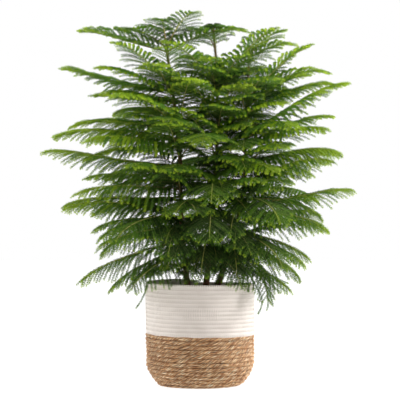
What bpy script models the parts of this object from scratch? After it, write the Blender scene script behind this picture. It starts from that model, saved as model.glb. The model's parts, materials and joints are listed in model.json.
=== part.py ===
"""A potted Norfolk Island pine: three stems in a woven basket, with whorls of flat fronds.

Metres, +Z up. The origin is the centre of the basket's flat underside and the front is -Y.
Each stem, each bough with its sprays of needles, each band of the basket and the soil is
one closed solid and one object, and neighbours keep a small gap.
"""

import math
import random
from collections import namedtuple

import bmesh
import bpy
from mathutils import Matrix, Vector
from mathutils.bvhtree import BVHTree

UP = Vector((0.0, 0.0, 1.0))
GAP = 0.0003
STARTING_NUMBER = 1931
SHARP_ANGLE = 55.0

# Basket and soil
BASKET_HEIGHT = 0.254
BAND_HEIGHT = 0.131
BODY_RADIUS = 0.138
RIM_RADIUS = 0.1395
FOOT_RADIUS = 0.106
FOOT_HEIGHT = 0.058
FOOT_POWER = 1.75
INSIDE_FOOT_STEPS = 2
OUTSIDE_FOOT_STEPS = 24
FOOT_STEP_POWER = 1.4
SEAGRASS_COILS = 9
COIL_RELIEF = 0.003
WALL = 0.009
SOIL_LEVEL = 0.236
SIDES_AROUND = 28

# Stems: the line each one follows from the soil to its tip
STEM_LINES = {
    "left": (
        (-0.030, -0.012, 0.236),
        (-0.046, -0.020, 0.400),
        (-0.052, -0.018, 0.620),
        (-0.078, -0.006, 0.800),
        (-0.088, 0.000, 0.880),
    ),
    "centre": (
        (0.014, 0.016, 0.236),
        (0.030, 0.020, 0.400),
        (0.044, 0.022, 0.640),
        (0.043, 0.022, 0.800),
        (0.034, 0.020, 0.907),
    ),
    "right": (
        (0.040, -0.008, 0.236),
        (0.092, 0.004, 0.400),
        (0.114, 0.018, 0.520),
        (0.117, 0.026, 0.660),
        (0.128, 0.030, 0.865),
    ),
}
STEM_FOOT_RADIUS = 0.0075
STEM_TIP_RADIUS = 0.0020
STEM_TAPER_POWER = 1.5
FLARE_RADIUS = 0.0030
FLARE_HEIGHT = 0.022
STEM_SIDES = 7
STEM_RINGS = 12
STEM_RING_POWER = 1.25

# Boughs. Angles are in degrees. Azimuth 0 is +X, 90 is the back, 270 is the front. Rise is the
# slope at the stem, droop is what the slope loses on the way out, and lift is how far the
# sprays stand above the bough's own plane (below it where negative).
Bough = namedtuple("Bough", "height azimuth rise length droop lift")
BOUGHS = {
    "left": (
        Bough(0.848, 170, 14, 0.235, -6, 26),
        Bough(0.856, 130, 34, 0.190, 26, 20),
        Bough(0.866, 98, 50, 0.140, 26, 10),
        Bough(0.858, 56, 54, 0.160, 20, 10),
        Bough(0.847, 24, 32, 0.235, 26, 12),
        Bough(0.755, 224, 40, 0.218, 16, 8),
        Bough(0.747, 184, 1, 0.285, -28, 12),
        Bough(0.715, 207, 16, 0.200, 14, 5),
        Bough(0.644, 236, 36, 0.270, 30, 0),
        Bough(0.642, 122, 26, 0.300, 26, 5),
        Bough(0.640, 175, 16, 0.280, 18, 6),
        Bough(0.625, 194, 9, 0.322, 10, 0),
        Bough(0.557, 182, 2, 0.345, -16, -6),
        Bough(0.530, 130, 16, 0.300, 26, -4),
        Bough(0.497, 207, 6, 0.290, 10, -10),
        Bough(0.437, 193, 13, 0.300, 14, -12),
        Bough(0.428, 232, 6, 0.270, 30, -12),
        Bough(0.420, 140, 6, 0.290, 26, -10),
        Bough(0.370, 194, -14, 0.285, 8, -14),
        Bough(0.345, 226, -18, 0.210, 12, -20),
    ),
    "centre": (
        Bough(0.860, 112, 42, 0.150, 30, 15),
        Bough(0.765, 22, 46, 0.246, 30, 15),
        Bough(0.757, 230, 42, 0.225, 20, 8),
        Bough(0.755, 112, 42, 0.230, 26, 10),
        Bough(0.753, 320, 48, 0.235, 12, 13),
        Bough(0.644, 72, 30, 0.280, 28, 5),
        Bough(0.640, 246, 52, 0.255, 34, 6),
        Bough(0.635, 322, 36, 0.230, 26, 6),
        Bough(0.552, 262, 48, 0.285, 66, -2),
        Bough(0.540, 104, 22, 0.300, 28, -4),
        Bough(0.525, 304, 22, 0.260, 30, -6),
        Bough(0.492, 268, 20, 0.270, 46, -8),
        Bough(0.432, 92, 12, 0.300, 30, -10),
        Bough(0.430, 268, 10, 0.290, 36, -12),
        Bough(0.348, 254, -4, 0.190, 34, -22),
        Bough(0.338, 298, -6, 0.190, 34, -22),
    ),
    "right": (
        Bough(0.840, 40, 48, 0.137, 26, 15),
        Bough(0.739, 78, 36, 0.230, 24, 10),
        Bough(0.735, 14, 34, 0.232, 28, 12),
        Bough(0.727, 330, 45, 0.225, 12, 16),
        Bough(0.722, 284, 30, 0.200, 26, 4),
        Bough(0.630, 340, 35, 0.305, 10, 0),
        Bough(0.620, 296, 26, 0.250, 32, -2),
        Bough(0.570, 355, 13, 0.245, 10, -22),
        Bough(0.512, 328, 27, 0.262, 22, -14),
        Bough(0.490, 46, 12, 0.290, 26, -8),
        Bough(0.470, 290, 8, 0.270, 34, -10),
        Bough(0.455, 358, 7, 0.288, -10, -8),
        Bough(0.395, 350, -12, 0.205, 12, -14),
        Bough(0.385, 302, 0, 0.240, 34, -16),
        Bough(0.370, 40, 0, 0.260, 26, -14),
        Bough(0.345, 316, -12, 0.195, 58, -20),
        Bough(0.330, 338, -20, 0.190, 8, -24),
    ),
}
TIP_NOD = 28.0
TIP_NOD_POWER = 6
PATH_STEPS = 40
START_STEP = 0.0001
RIB_SEGMENTS = 4
RIB_CORNER = Vector((math.sqrt(3.0) / 2.0, -0.5))
RIB_TYPICAL_LENGTH = 0.2
RIB_ROOT_RADIUS = 0.0019
RIB_RADIUS_PER_LENGTH = 0.0016
RIB_TIP_SHARE = 0.35
RIB_END = 0.93

# Twigs and their sprays of needles: each spray is one blade over three neighbouring twigs
TWIG_SPACING = 0.0176
TWIG_STEPS = 10
TWIG_ANGLE_AT_ROOT = 72.0
TWIG_ANGLE_AT_TIP = 40.0
TWIG_LENGTH_PER_BOUGH = 0.30
TWIG_LENGTH_BASE = 0.035
FIRST_TWIG_SHARE = 0.45
LAST_TWIG_SHARE = 0.12
LONGEST_TWIG_AT = 0.24
TWIG_CLOSING_POWER = 0.75
TWIG_SAG = 5.5
TWIG_SWEEP = 0.15
FIRST_SPRAY = 0.07
LAST_SPRAY = 0.92
SIDE_STAGGER = 0.15
NOTCH_SHARE = 0.6
TOOTH_SHARE = 0.36
SPRAY_THICKNESS = 0.0024
LEAST_THICKNESS_SHARE = 0.02
SPRAY_ROOT_HALF_WIDTH = 0.008
TIP_ROOT_HALF_WIDTH = 0.0004
LAST_TWIGS_BACK = 0.012
SPRAY_SINK = 0.4
LENGTH_JITTER = 0.08
LIFT_JITTER = 6.0
SHORTER_TRIES = (1.0, 0.8, 0.6, 0.45)
CLEARANCE = 0.0006

# The young whorl at the top of the middle stem
LEADER_HEIGHT = 0.012
LEADER_SPRAYS = 5
LEADER_SPRAY_LENGTH = 0.023
LEADER_SPRAY_RISE = 12.0
LEADER_ROOT = 0.0006
LEADER_FIRST = 0.3
LEADER_STEP = 0.1
LEADER_TURN = 0.3
LEADER_SPLAY = 0.3

COTTON = ("cotton_rope", (0.90, 0.87, 0.82), 0.90)
SEAGRASS = ("seagrass", (0.52, 0.34, 0.18), 0.80)
SOIL = ("potting_soil", (0.055, 0.035, 0.024), 0.95)
BARK = ("bark", (0.16, 0.085, 0.050), 0.85)
NEEDLES = ("needles", (0.060, 0.165, 0.030), 0.55)
YOUNG_NEEDLES = ("young_needles", (0.20, 0.36, 0.060), 0.55)


def cleared_scene():
    """Remove what the scene holds at the start."""
    for thing in list(bpy.data.objects):
        bpy.data.objects.remove(thing, do_unlink=True)


def material_of(finish):
    """The named material of this (name, colour, roughness), made the first time it is asked for."""
    name, colour, roughness = finish
    found = bpy.data.materials.get(name)
    if found:
        return found
    made = bpy.data.materials.new(name)
    made.use_nodes = True
    shader = made.node_tree.nodes["Principled BSDF"]
    shader.inputs["Base Color"].default_value = (*colour, 1.0)
    shader.inputs["Roughness"].default_value = roughness
    shader.inputs["Metallic"].default_value = 0.0
    made.diffuse_color = (*colour, 1.0)
    return made


def placed(name, mesh, origin, finish, parent):
    """An object of this mesh, whose points are in the plant's frame, with its origin moved to a point."""
    mesh.transform(Matrix.Translation(-origin))
    mesh.materials.clear()
    mesh.materials.append(material_of(finish))
    thing = bpy.data.objects.new(name, mesh)
    thing.location = origin
    thing.parent = parent
    bpy.context.scene.collection.objects.link(thing)
    return thing


def mesh_of(name, points, faces):
    """A mesh of these points and faces, facing out."""
    mesh = bpy.data.meshes.new(name)
    mesh.from_pydata([tuple(p) for p in points], [], faces)
    outward = bmesh.new()
    outward.from_mesh(mesh)
    bmesh.ops.recalc_face_normals(outward, faces=outward.faces)
    outward.to_mesh(mesh)
    outward.free()
    return mesh


def rounded(mesh):
    """Smooth shading except where faces meet at a sharp edge."""
    mesh.shade_smooth()
    mesh.set_sharp_from_angle(angle=math.radians(SHARP_ANGLE))


class Occupied:
    """The solids placed so far, so that a new piece can be kept clear of every other owner's."""

    def __init__(self):
        self.solids = []

    def add(self, owner, points, faces):
        tree = BVHTree.FromPolygons(points, faces)
        self.solids.append((owner, *box_of(points), tree))

    def add_mesh(self, owner, mesh):
        faces = [tuple(face.vertices) for face in mesh.polygons]
        self.add(owner, [v.co.copy() for v in mesh.vertices], faces)

    def tree_of(self, owner):
        return next(tree for name, _, _, tree in self.solids if name == owner)

    def touched(self, owner, points, faces):
        """Whether these faces cross those of any other owner's solid."""
        low, high = box_of(points)
        tree = BVHTree.FromPolygons(points, faces)
        for other, other_low, other_high, other_tree in self.solids:
            if other == owner or not boxes_meet(low, high, other_low, other_high):
                continue
            if tree.overlap(other_tree):
                return True
        return False


def box_of(points):
    low = Vector(min(p[k] for p in points) for k in range(3))
    high = Vector(max(p[k] for p in points) for k in range(3))
    return low, high


def boxes_meet(low, high, other_low, other_high):
    return all(low[k] <= other_high[k] and other_low[k] <= high[k] for k in range(3))


# ---- Basket and soil ----------------------------------------------------------------------


def foot_curve(steps, shrink=0.0, lift=0.0):
    """The basket's rounded foot as (radius, height), brought in and up for its inner face."""
    curve = []
    for step in range(steps + 1):
        share = (step / steps) ** FOOT_STEP_POWER
        drop = (BODY_RADIUS - FOOT_RADIUS) * (1.0 - share) ** FOOT_POWER
        height = lift + share * (FOOT_HEIGHT - lift)
        curve.append((BODY_RADIUS - drop - shrink, height))
    return curve


def turned(name, profile, ring):
    """The mesh that a profile of (radius, height) sweeps about +Z; a ring's profile is closed."""
    shape = bmesh.new()
    verts = [shape.verts.new((radius, 0.0, height)) for radius, height in profile]
    ends = list(zip(verts, verts[1:]))
    if ring:
        ends.append((verts[-1], verts[0]))
    edges = [shape.edges.new(pair) for pair in ends]
    bmesh.ops.spin(
        shape,
        geom=verts + edges,
        cent=(0.0, 0.0, 0.0),
        axis=(0.0, 0.0, 1.0),
        angle=math.tau,
        steps=SIDES_AROUND,
        use_merge=True,
    )
    bmesh.ops.remove_doubles(shape, verts=shape.verts, dist=1e-5)
    bmesh.ops.recalc_face_normals(shape, faces=shape.faces)
    mesh = bpy.data.meshes.new(name)
    shape.to_mesh(mesh)
    shape.free()
    rounded(mesh)
    return mesh


def set_in(line, distance, depth):
    """The point so far along a line of (radius, height), moved into the wall by a depth."""
    for (radius, height), (next_radius, next_height) in zip(line, line[1:]):
        length = math.hypot(next_radius - radius, next_height - height)
        if distance <= length or (next_radius, next_height) == line[-1]:
            out, up = (next_radius - radius) / length, (next_height - height) / length
            return (radius + out * distance - up * depth, height + up * distance + out * depth)
        distance -= length


def coiled_wall(top):
    """The outside from the underside to the seam: broad coils, with a groove over each."""
    line = foot_curve(OUTSIDE_FOOT_STEPS) + [(BODY_RADIUS, top)]
    pitch = sum(math.dist(a, b) for a, b in zip(line, line[1:])) / SEAGRASS_COILS
    wall = [line[0]]
    for coil in range(SEAGRASS_COILS):
        wall.append(set_in(line, (coil + 0.5) * pitch, 0.0))
        wall.append(set_in(line, (coil + 1) * pitch, COIL_RELIEF))
    return wall


def seagrass_profile():
    """The lower cup: its underside, its coiled foot and wall, and the inside down to the floor."""
    top = BAND_HEIGHT - GAP
    inside = foot_curve(INSIDE_FOOT_STEPS, WALL, WALL) + [(BODY_RADIUS - WALL, top)]
    return [(0.0, 0.0)] + coiled_wall(top) + inside[::-1] + [(0.0, WALL)]


def cotton_profile():
    """The upper band of the wall, from the seam to the rim."""
    return [
        (BODY_RADIUS, BAND_HEIGHT),
        (RIM_RADIUS, BASKET_HEIGHT - WALL / 3),
        (RIM_RADIUS - WALL / 2, BASKET_HEIGHT),
        (RIM_RADIUS - WALL, BASKET_HEIGHT - WALL / 3),
        (BODY_RADIUS - WALL, BAND_HEIGHT),
    ]


def soil_profile():
    """The soil that fills the basket, a gap clear of its inside."""
    foot = foot_curve(INSIDE_FOOT_STEPS, WALL + GAP, WALL + GAP)
    side = foot + [(BODY_RADIUS - WALL - GAP, SOIL_LEVEL)]
    return [(0.0, WALL + GAP)] + side + [(0.0, SOIL_LEVEL)]


def build_basket(parent, occupied):
    pieces = (
        ("basket_seagrass", seagrass_profile(), False, SEAGRASS),
        ("basket_cotton", cotton_profile(), True, COTTON),
        ("soil", soil_profile(), False, SOIL),
    )
    for name, profile, ring, finish in pieces:
        mesh = turned(name, profile, ring)
        occupied.add_mesh(name, mesh)
        placed(name, mesh, Vector((0.0, 0.0, 0.0)), finish, parent)


# ---- Stems ---------------------------------------------------------------------------------


def slopes_of(line, axis):
    """The slope of one coordinate against height at each point of a stem's line."""
    slopes = []
    for index in range(len(line)):
        before = line[max(index - 1, 0)]
        after = line[min(index + 1, len(line) - 1)]
        slopes.append((after[axis] - before[axis]) / (after[2] - before[2]))
    return slopes


def stem_centre(stem, height):
    """The middle of a stem at a height: a smooth curve through the points of its line."""
    line = STEM_LINES[stem]
    last = len(line) - 2
    index = min(sum(height > point[2] for point in line[1:]), last)
    low, high = line[index], line[index + 1]
    span = high[2] - low[2]
    t = min(max((height - low[2]) / span, 0.0), 1.0)
    place = []
    for axis in (0, 1):
        slopes = slopes_of(line, axis)
        place.append(
            (2 * t**3 - 3 * t**2 + 1) * low[axis]
            + (t**3 - 2 * t**2 + t) * span * slopes[index]
            + (3 * t**2 - 2 * t**3) * high[axis]
            + (t**3 - t**2) * span * slopes[index + 1]
        )
    return Vector((place[0], place[1], height))


def stem_radius(stem, height):
    """The stem's radius: a taper to the tip, with the root flare at the soil."""
    foot, tip = STEM_LINES[stem][0][2], STEM_LINES[stem][-1][2]
    left = 1.0 - (height - foot) / (tip - foot)
    taper = STEM_TIP_RADIUS + (STEM_FOOT_RADIUS - STEM_TIP_RADIUS) * max(left, 0.0) ** STEM_TAPER_POWER
    return taper + FLARE_RADIUS * math.exp(-(height - foot) / FLARE_HEIGHT)


def build_stem(stem, parent, occupied):
    """One stem as a tapering tube of level rings, from a flat cut at the soil to its tip."""
    foot, tip = STEM_LINES[stem][0][2] + GAP, STEM_LINES[stem][-1][2]
    points, faces = [], []
    for ring in range(STEM_RINGS):
        height = foot + (tip - foot) * (ring / (STEM_RINGS - 1)) ** STEM_RING_POWER
        centre, radius = stem_centre(stem, height), stem_radius(stem, height)
        for side in range(STEM_SIDES):
            turn = math.tau * side / STEM_SIDES
            points.append(centre + radius * Vector((math.cos(turn), math.sin(turn), 0.0)))
    faces.append(tuple(range(STEM_SIDES)))
    faces.extend(tube_walls(STEM_RINGS, STEM_SIDES))
    faces.append(tuple(range((STEM_RINGS - 1) * STEM_SIDES, STEM_RINGS * STEM_SIDES)))
    name = f"stem_{stem}"
    mesh = mesh_of(name, points, faces)
    rounded(mesh)
    occupied.add_mesh(name, mesh)
    placed(name, mesh, stem_centre(stem, foot), BARK, parent)


def tube_walls(rings, sides):
    """The four-sided faces between the rings of a tube."""
    walls = []
    for ring in range(rings - 1):
        for side in range(sides):
            a = ring * sides + side
            b = ring * sides + (side + 1) % sides
            walls.append((a, b, b + sides, a + sides))
    return walls


# ---- Boughs --------------------------------------------------------------------------------


def bough_path(stem, bough):
    """The bough's middle line from the stem's axis to its tip."""
    place = stem_centre(stem, bough.height)
    step = bough.length / PATH_STEPS
    azimuth = math.radians(bough.azimuth)
    path = [place]
    for index in range(PATH_STEPS):
        share = (index + 0.5) / PATH_STEPS
        slope = math.radians(bough.rise - bough.droop * share - TIP_NOD * share**TIP_NOD_POWER)
        ahead = Vector((math.cos(azimuth), math.sin(azimuth), 0.0)) * math.cos(slope)
        place = place + (ahead + UP * math.sin(slope)) * step
        path.append(place)
    return path


def point_on(path, share):
    """The place at a share of a path's length, with the path's direction, side and top there."""
    place = min(max(share, 0.0), 1.0) * (len(path) - 1)
    index = min(int(place), len(path) - 2)
    at = path[index].lerp(path[index + 1], place - index)
    ahead = (path[index + 1] - path[index]).normalized()
    side = ahead.cross(UP).normalized()
    return at, ahead, side, side.cross(ahead)


def rib_radius(bough, share):
    """The rib's radius: thicker on a longer bough, and tapering to its end."""
    root = RIB_ROOT_RADIUS + RIB_RADIUS_PER_LENGTH * (bough.length - RIB_TYPICAL_LENGTH)
    return root * (1.0 - (1.0 - RIB_TIP_SHARE) * share)


def rib_ring(path, bough, share):
    """The three corners of the rib's cut: one on top and one low on each side."""
    at, _, side, top = point_on(path, share)
    radius = rib_radius(bough, share)
    return [
        at + top * radius,
        at + (top * RIB_CORNER.y + side * RIB_CORNER.x) * radius,
        at + (top * RIB_CORNER.y - side * RIB_CORNER.x) * radius,
    ]


def height_over(tree, place):
    """How far a place is outside a solid's surface; negative inside it."""
    nearest, normal, _, _ = tree.find_nearest(place)
    return (place - nearest).dot(normal)


def rib_start(path, bough, stem_tree):
    """The share of the path where the rib's first cut is a gap clear of the stem."""
    share = 0.0
    clear = -1.0
    while clear < GAP:
        share += START_STEP / bough.length
        corners = rib_ring(path, bough, share)
        middles = [a.lerp(b, 0.5) for a, b in zip(corners, corners[1:] + corners[:1])]
        clear = min(height_over(stem_tree, place) for place in corners + middles)
    return share


def rib_shape(path, bough, start):
    """The tapering three-sided rib as points and faces."""
    points, faces = [], []
    for ring in range(RIB_SEGMENTS + 1):
        share = start + (RIB_END - start) * ring / RIB_SEGMENTS
        points.extend(rib_ring(path, bough, share))
    faces.append((0, 1, 2))
    faces.extend(tube_walls(RIB_SEGMENTS + 1, 3))
    end = RIB_SEGMENTS * 3
    faces.append((end, end + 1, end + 2))
    return points, faces


def twig_length(share, bough):
    """How long the twigs are along the bough: short at the stem, longest a quarter out."""
    longest = TWIG_LENGTH_PER_BOUGH * bough.length + TWIG_LENGTH_BASE
    opening = min(1.0, FIRST_TWIG_SHARE + (1.0 - FIRST_TWIG_SHARE) * share / LONGEST_TWIG_AT)
    outer = max(0.0, (share - LONGEST_TWIG_AT) / (1.0 - LONGEST_TWIG_AT))
    closing = (1.0 - outer) ** TWIG_CLOSING_POWER
    return longest * opening * (LAST_TWIG_SHARE + (1.0 - LAST_TWIG_SHARE) * closing)


def twig_curve(path, bough, share, hand, lift, length):
    """The line of one twig from the rib outwards; hand is +1 or -1 for the bough's two sides."""
    place, ahead, side, top = point_on(path, share)
    slant = math.radians(TWIG_ANGLE_AT_ROOT + (TWIG_ANGLE_AT_TIP - TWIG_ANGLE_AT_ROOT) * share)
    tilt = math.radians(lift)
    sideways = side * hand * math.cos(tilt) + top * math.sin(tilt)
    out = ahead * math.cos(slant) + sideways * math.sin(slant)
    line = [place]
    for step in range(TWIG_STEPS):
        done = (step + 0.5) / TWIG_STEPS
        sag = TWIG_SAG * length * done
        heading = (out - UP * sag + ahead * TWIG_SWEEP * done).normalized()
        place = place + heading * length / TWIG_STEPS
        line.append(place)
    return line


def tip_curve(path, bough):
    """The line of the bough's own tip, past the end of its rib."""
    shares = [RIB_END + (1.0 - RIB_END) * step / TWIG_STEPS for step in range(TWIG_STEPS + 1)]
    return [point_on(path, share)[0] for share in shares]


def spray_shape(lines, root_before, root_after, grow=0.0):
    """A thin blade of needles over three neighbouring twigs, cut into three teeth.

    It is thickest near its root, and grow makes it larger all round to test its clearance.
    """
    first, middle, last = lines
    outward = (middle[-1] - middle[0]).normalized()
    along = (root_after - root_before).normalized()
    face = along.cross(outward).normalized()
    notch = round(TWIG_STEPS * NOTCH_SHARE)
    outline = [
        root_before - along * grow,
        first[-1] + (outward - along) * grow,
        middle[notch].lerp(first[notch], TOOTH_SHARE),
        middle[-1] + outward * grow,
        middle[notch].lerp(last[notch], TOOTH_SHARE),
        last[-1] + (outward + along) * grow,
        root_after + along * grow,
    ]
    hub = middle[1]
    thick = max(SPRAY_THICKNESS, (middle[-1] - middle[0]).length * LEAST_THICKNESS_SHARE) / 2 + grow
    points = outline + [hub + face * thick, hub - face * thick]
    count = len(outline)
    faces = []
    for index in range(count):
        following = (index + 1) % count
        faces.append((index, following, count))
        faces.append((following, index, count + 1))
    return points, faces


def is_folded(points):
    """Whether a blade's outline turns back on itself, seen along the line through its thickest place."""
    outline, through = points[:-2], points[-2] - points[-1]
    hub = points[-1].lerp(points[-2], 0.5)
    turns = [
        through.dot((here - hub).cross(following - hub))
        for here, following in zip(outline, outline[1:] + outline[:1])
    ]
    return min(turns) <= 0.0 <= max(turns)


def side_spray(path, bough, share, hand, lifts, lengths, shorter, grow):
    """The spray over three twigs of one side, its root sunk past the rib's middle."""
    step = TWIG_SPACING / bough.length
    lines = []
    for turn, lift, length in zip((-1, 0, 1), lifts, lengths):
        at = share + turn * step
        lines.append(twig_curve(path, bough, at, hand, lift, length * twig_length(at, bough) * shorter))
    sunk = point_on(path, share)[2] * hand * SPRAY_SINK * rib_radius(bough, share)
    half_root = SPRAY_ROOT_HALF_WIDTH / bough.length
    before = point_on(path, share - half_root)[0] - sunk
    after = point_on(path, share + half_root)[0] - sunk
    return spray_shape(lines, before, after, grow)


def tip_spray(path, bough, lift, shorter, grow):
    """The spray at the end of the rib: the bough's tip between its last two twigs."""
    share = RIB_END - LAST_TWIGS_BACK
    lines = [
        twig_curve(path, bough, share, -1, lift, twig_length(share, bough) * shorter),
        tip_curve(path, bough),
        twig_curve(path, bough, share, 1, lift, twig_length(share, bough) * shorter),
    ]
    place, ahead, side, _ = point_on(path, share)
    sunk = place - ahead * rib_radius(bough, share)
    return spray_shape(lines, sunk - side * TIP_ROOT_HALF_WIDTH, sunk + side * TIP_ROOT_HALF_WIDTH, grow)


def sprays_of(name, path, bough, occupied, chance):
    """The sprays that stand clear of every other limb and spray, each as points and faces."""
    makers = []
    pitch = 3 * TWIG_SPACING / bough.length
    count = max(2, round((LAST_SPRAY - FIRST_SPRAY) / pitch))
    for hand in (1, -1):
        for index in range(count):
            share = FIRST_SPRAY + (index + 0.5 + hand * SIDE_STAGGER) * (LAST_SPRAY - FIRST_SPRAY) / count
            lifts = [bough.lift + chance.uniform(-LIFT_JITTER, LIFT_JITTER) for _ in range(3)]
            lengths = [1.0 + chance.uniform(-LENGTH_JITTER, LENGTH_JITTER) for _ in range(3)]
            makers.append((side_spray, (path, bough, share, hand, lifts, lengths)))
    makers.append((tip_spray, (path, bough, bough.lift)))
    kept = []
    for maker, sizes in makers:
        for shorter in SHORTER_TRIES:
            shape = maker(*sizes, shorter, 0.0)
            if is_folded(shape[0]) or occupied.touched(name, *maker(*sizes, shorter, CLEARANCE)):
                continue
            occupied.add(name, *shape)
            kept.append(shape)
            break
    return kept


def joined(name, core, blades):
    """One mesh of a core and its blades, by a Boolean union on a collection that is then removed."""
    body = bpy.data.objects.new(name, mesh_of(name, *core))
    bpy.context.scene.collection.objects.link(body)
    tools = bpy.data.collections.new(f"{name}_blades")
    bpy.context.scene.collection.children.link(tools)
    for index, blade in enumerate(blades):
        piece = bpy.data.objects.new(f"{name}_blade_{index}", mesh_of(f"{name}_blade", *blade))
        tools.objects.link(piece)
    union = body.modifiers.new("join", "BOOLEAN")
    union.operation = "UNION"
    union.operand_type = "COLLECTION"
    union.collection = tools
    for solver in ("EXACT", "MANIFOLD"):
        union.solver = solver
        graph = bpy.context.evaluated_depsgraph_get()
        mesh = bpy.data.meshes.new_from_object(body.evaluated_get(graph), depsgraph=graph)
        if made_whole(mesh):
            break
    for piece in list(tools.objects):
        spent = piece.data
        bpy.data.objects.remove(piece)
        bpy.data.meshes.remove(spent)
    bpy.data.collections.remove(tools)
    first = body.data
    bpy.data.objects.remove(body)
    bpy.data.meshes.remove(first)
    mesh.name = name
    return mesh


def islands_of(shape):
    """The groups of faces of a bmesh that are joined by their edges, the largest group first."""
    waiting = set(shape.faces)
    islands = []
    while waiting:
        front = [waiting.pop()]
        island = list(front)
        while front:
            for edge in front.pop().edges:
                for face in edge.link_faces:
                    if face in waiting:
                        waiting.discard(face)
                        front.append(face)
                        island.append(face)
        islands.append(island)
    return sorted(islands, key=len, reverse=True)


def made_whole(mesh):
    """Drop loose scraps and the walls of sealed hollows, and say whether what is left is closed."""
    shape = bmesh.new()
    shape.from_mesh(mesh)
    for island in islands_of(shape)[1:]:
        bmesh.ops.delete(shape, geom=island, context="FACES")
    closed = bool(shape.faces) and all(len(edge.link_faces) == 2 for edge in shape.edges)
    shape.to_mesh(mesh)
    shape.free()
    return closed


def build_boughs(parent, occupied):
    """Every bough: all the ribs first, then the sprays, which keep clear of all the ribs.

    A bough starts a gap clear of its stem and is named for it, numbered from the top down.
    """
    ribs = []
    for stem, boughs in BOUGHS.items():
        tree = occupied.tree_of(f"stem_{stem}")
        for number, bough in enumerate(boughs, start=1):
            name = f"bough_{stem}_{number:02d}"
            path = bough_path(stem, bough)
            start = rib_start(path, bough, tree)
            shape = rib_shape(path, bough, start)
            occupied.add(name, *shape)
            ribs.append((name, bough, path, start, shape))
    chance = random.Random(STARTING_NUMBER)
    for name, bough, path, start, shape in ribs:
        blades = sprays_of(name, path, bough, occupied, chance)
        mesh = joined(name, shape, blades)
        placed(name, mesh, point_on(path, start)[0], NEEDLES, parent)


def build_leader(parent, occupied):
    """The young whorl that stands on the tip of the middle stem."""
    foot = Vector(STEM_LINES["centre"][-1]) + UP * GAP
    rings = []
    for height, radius in ((0.0, STEM_TIP_RADIUS), (LEADER_HEIGHT, STEM_TIP_RADIUS / 2)):
        for corner in range(3):
            turn = math.tau * corner / 3
            rings.append(foot + Vector((radius * math.cos(turn), radius * math.sin(turn), height)))
    core = (rings, [(0, 1, 2)] + tube_walls(2, 3) + [(3, 4, 5)])
    blades = []
    rise = math.radians(LEADER_SPRAY_RISE)
    for index in range(LEADER_SPRAYS):
        root = foot + UP * LEADER_HEIGHT * (LEADER_FIRST + LEADER_STEP * index)
        lines = []
        for splay in (-LEADER_SPLAY, 0.0, LEADER_SPLAY):
            turn = math.tau * index / LEADER_SPRAYS + LEADER_TURN + splay
            level = Vector((math.cos(turn), math.sin(turn), 0.0))
            reach = (level * math.cos(rise) + UP * math.sin(rise)) * LEADER_SPRAY_LENGTH
            lines.append([root + reach * step / TWIG_STEPS for step in range(TWIG_STEPS + 1)])
        back = (lines[1][0] - lines[1][-1]).normalized() * LEADER_ROOT
        half = (lines[2][-1] - lines[0][-1]).normalized() * LEADER_ROOT
        blades.append(spray_shape(lines, root + back - half, root + back + half))
    name = "leader_whorl"
    placed(name, joined(name, core, blades), foot, YOUNG_NEEDLES, parent)


def main():
    cleared_scene()
    plant = bpy.data.objects.new("potted_pine", None)
    bpy.context.scene.collection.objects.link(plant)
    occupied = Occupied()
    build_basket(plant, occupied)
    for stem in STEM_LINES:
        build_stem(stem, plant, occupied)
    build_boughs(plant, occupied)
    build_leader(plant, occupied)


if __name__ == "__main__":
    main()
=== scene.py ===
"""A potted Norfolk Island pine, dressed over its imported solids.

Metres, +Z up, and the same frame as the solids: the origin is the centre of the basket's flat
underside and the front is -Y. The stems, boughs and twigs follow the same rule as the solids,
carried on to single needles.
"""

from __future__ import annotations

import functools
import json
import logging
import math
from collections.abc import Mapping, Sequence
from dataclasses import dataclass, field, replace
from enum import Enum
from typing import Any, Union

import bpy
import numpy as np
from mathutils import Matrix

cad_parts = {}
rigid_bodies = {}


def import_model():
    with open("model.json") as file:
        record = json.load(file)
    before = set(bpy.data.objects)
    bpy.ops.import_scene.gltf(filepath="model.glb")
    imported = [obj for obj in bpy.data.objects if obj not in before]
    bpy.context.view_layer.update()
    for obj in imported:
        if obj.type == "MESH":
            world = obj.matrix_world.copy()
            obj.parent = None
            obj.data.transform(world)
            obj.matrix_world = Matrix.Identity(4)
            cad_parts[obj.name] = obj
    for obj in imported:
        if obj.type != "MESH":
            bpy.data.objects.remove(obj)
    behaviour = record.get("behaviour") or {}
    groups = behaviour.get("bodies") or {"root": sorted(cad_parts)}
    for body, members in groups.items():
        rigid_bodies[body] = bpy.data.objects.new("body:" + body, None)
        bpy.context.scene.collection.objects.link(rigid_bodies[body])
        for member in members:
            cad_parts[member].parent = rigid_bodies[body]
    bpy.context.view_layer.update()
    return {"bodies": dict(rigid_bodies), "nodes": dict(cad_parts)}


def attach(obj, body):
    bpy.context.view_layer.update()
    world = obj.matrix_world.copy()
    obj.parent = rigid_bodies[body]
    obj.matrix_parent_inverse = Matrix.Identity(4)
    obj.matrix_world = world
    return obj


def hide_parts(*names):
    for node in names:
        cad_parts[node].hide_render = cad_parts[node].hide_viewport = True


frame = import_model()

log = logging.getLogger("potted_pine")

UP = np.array((0.0, 0.0, 1.0))
STARTING_NUMBER = 1931
GOLDEN_TURN = math.pi * (3.0 - math.sqrt(5.0))
MOST_TRIANGLES = 190_000

Colour = tuple[float, float, float, float]


# ---- Arithmetic on arrays of points --------------------------------------------------------


def unit(vectors: np.ndarray) -> np.ndarray:
    """The vectors scaled to a length of one."""
    return vectors / np.maximum(np.linalg.norm(vectors, axis=-1, keepdims=True), 1e-12)


def smooth_step(values: np.ndarray, low: float, high: float) -> np.ndarray:
    """A soft ramp from 0 at low to 1 at high."""
    share = np.clip((values - low) / (high - low), 0.0, 1.0)
    return share * share * (3.0 - 2.0 * share)


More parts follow.
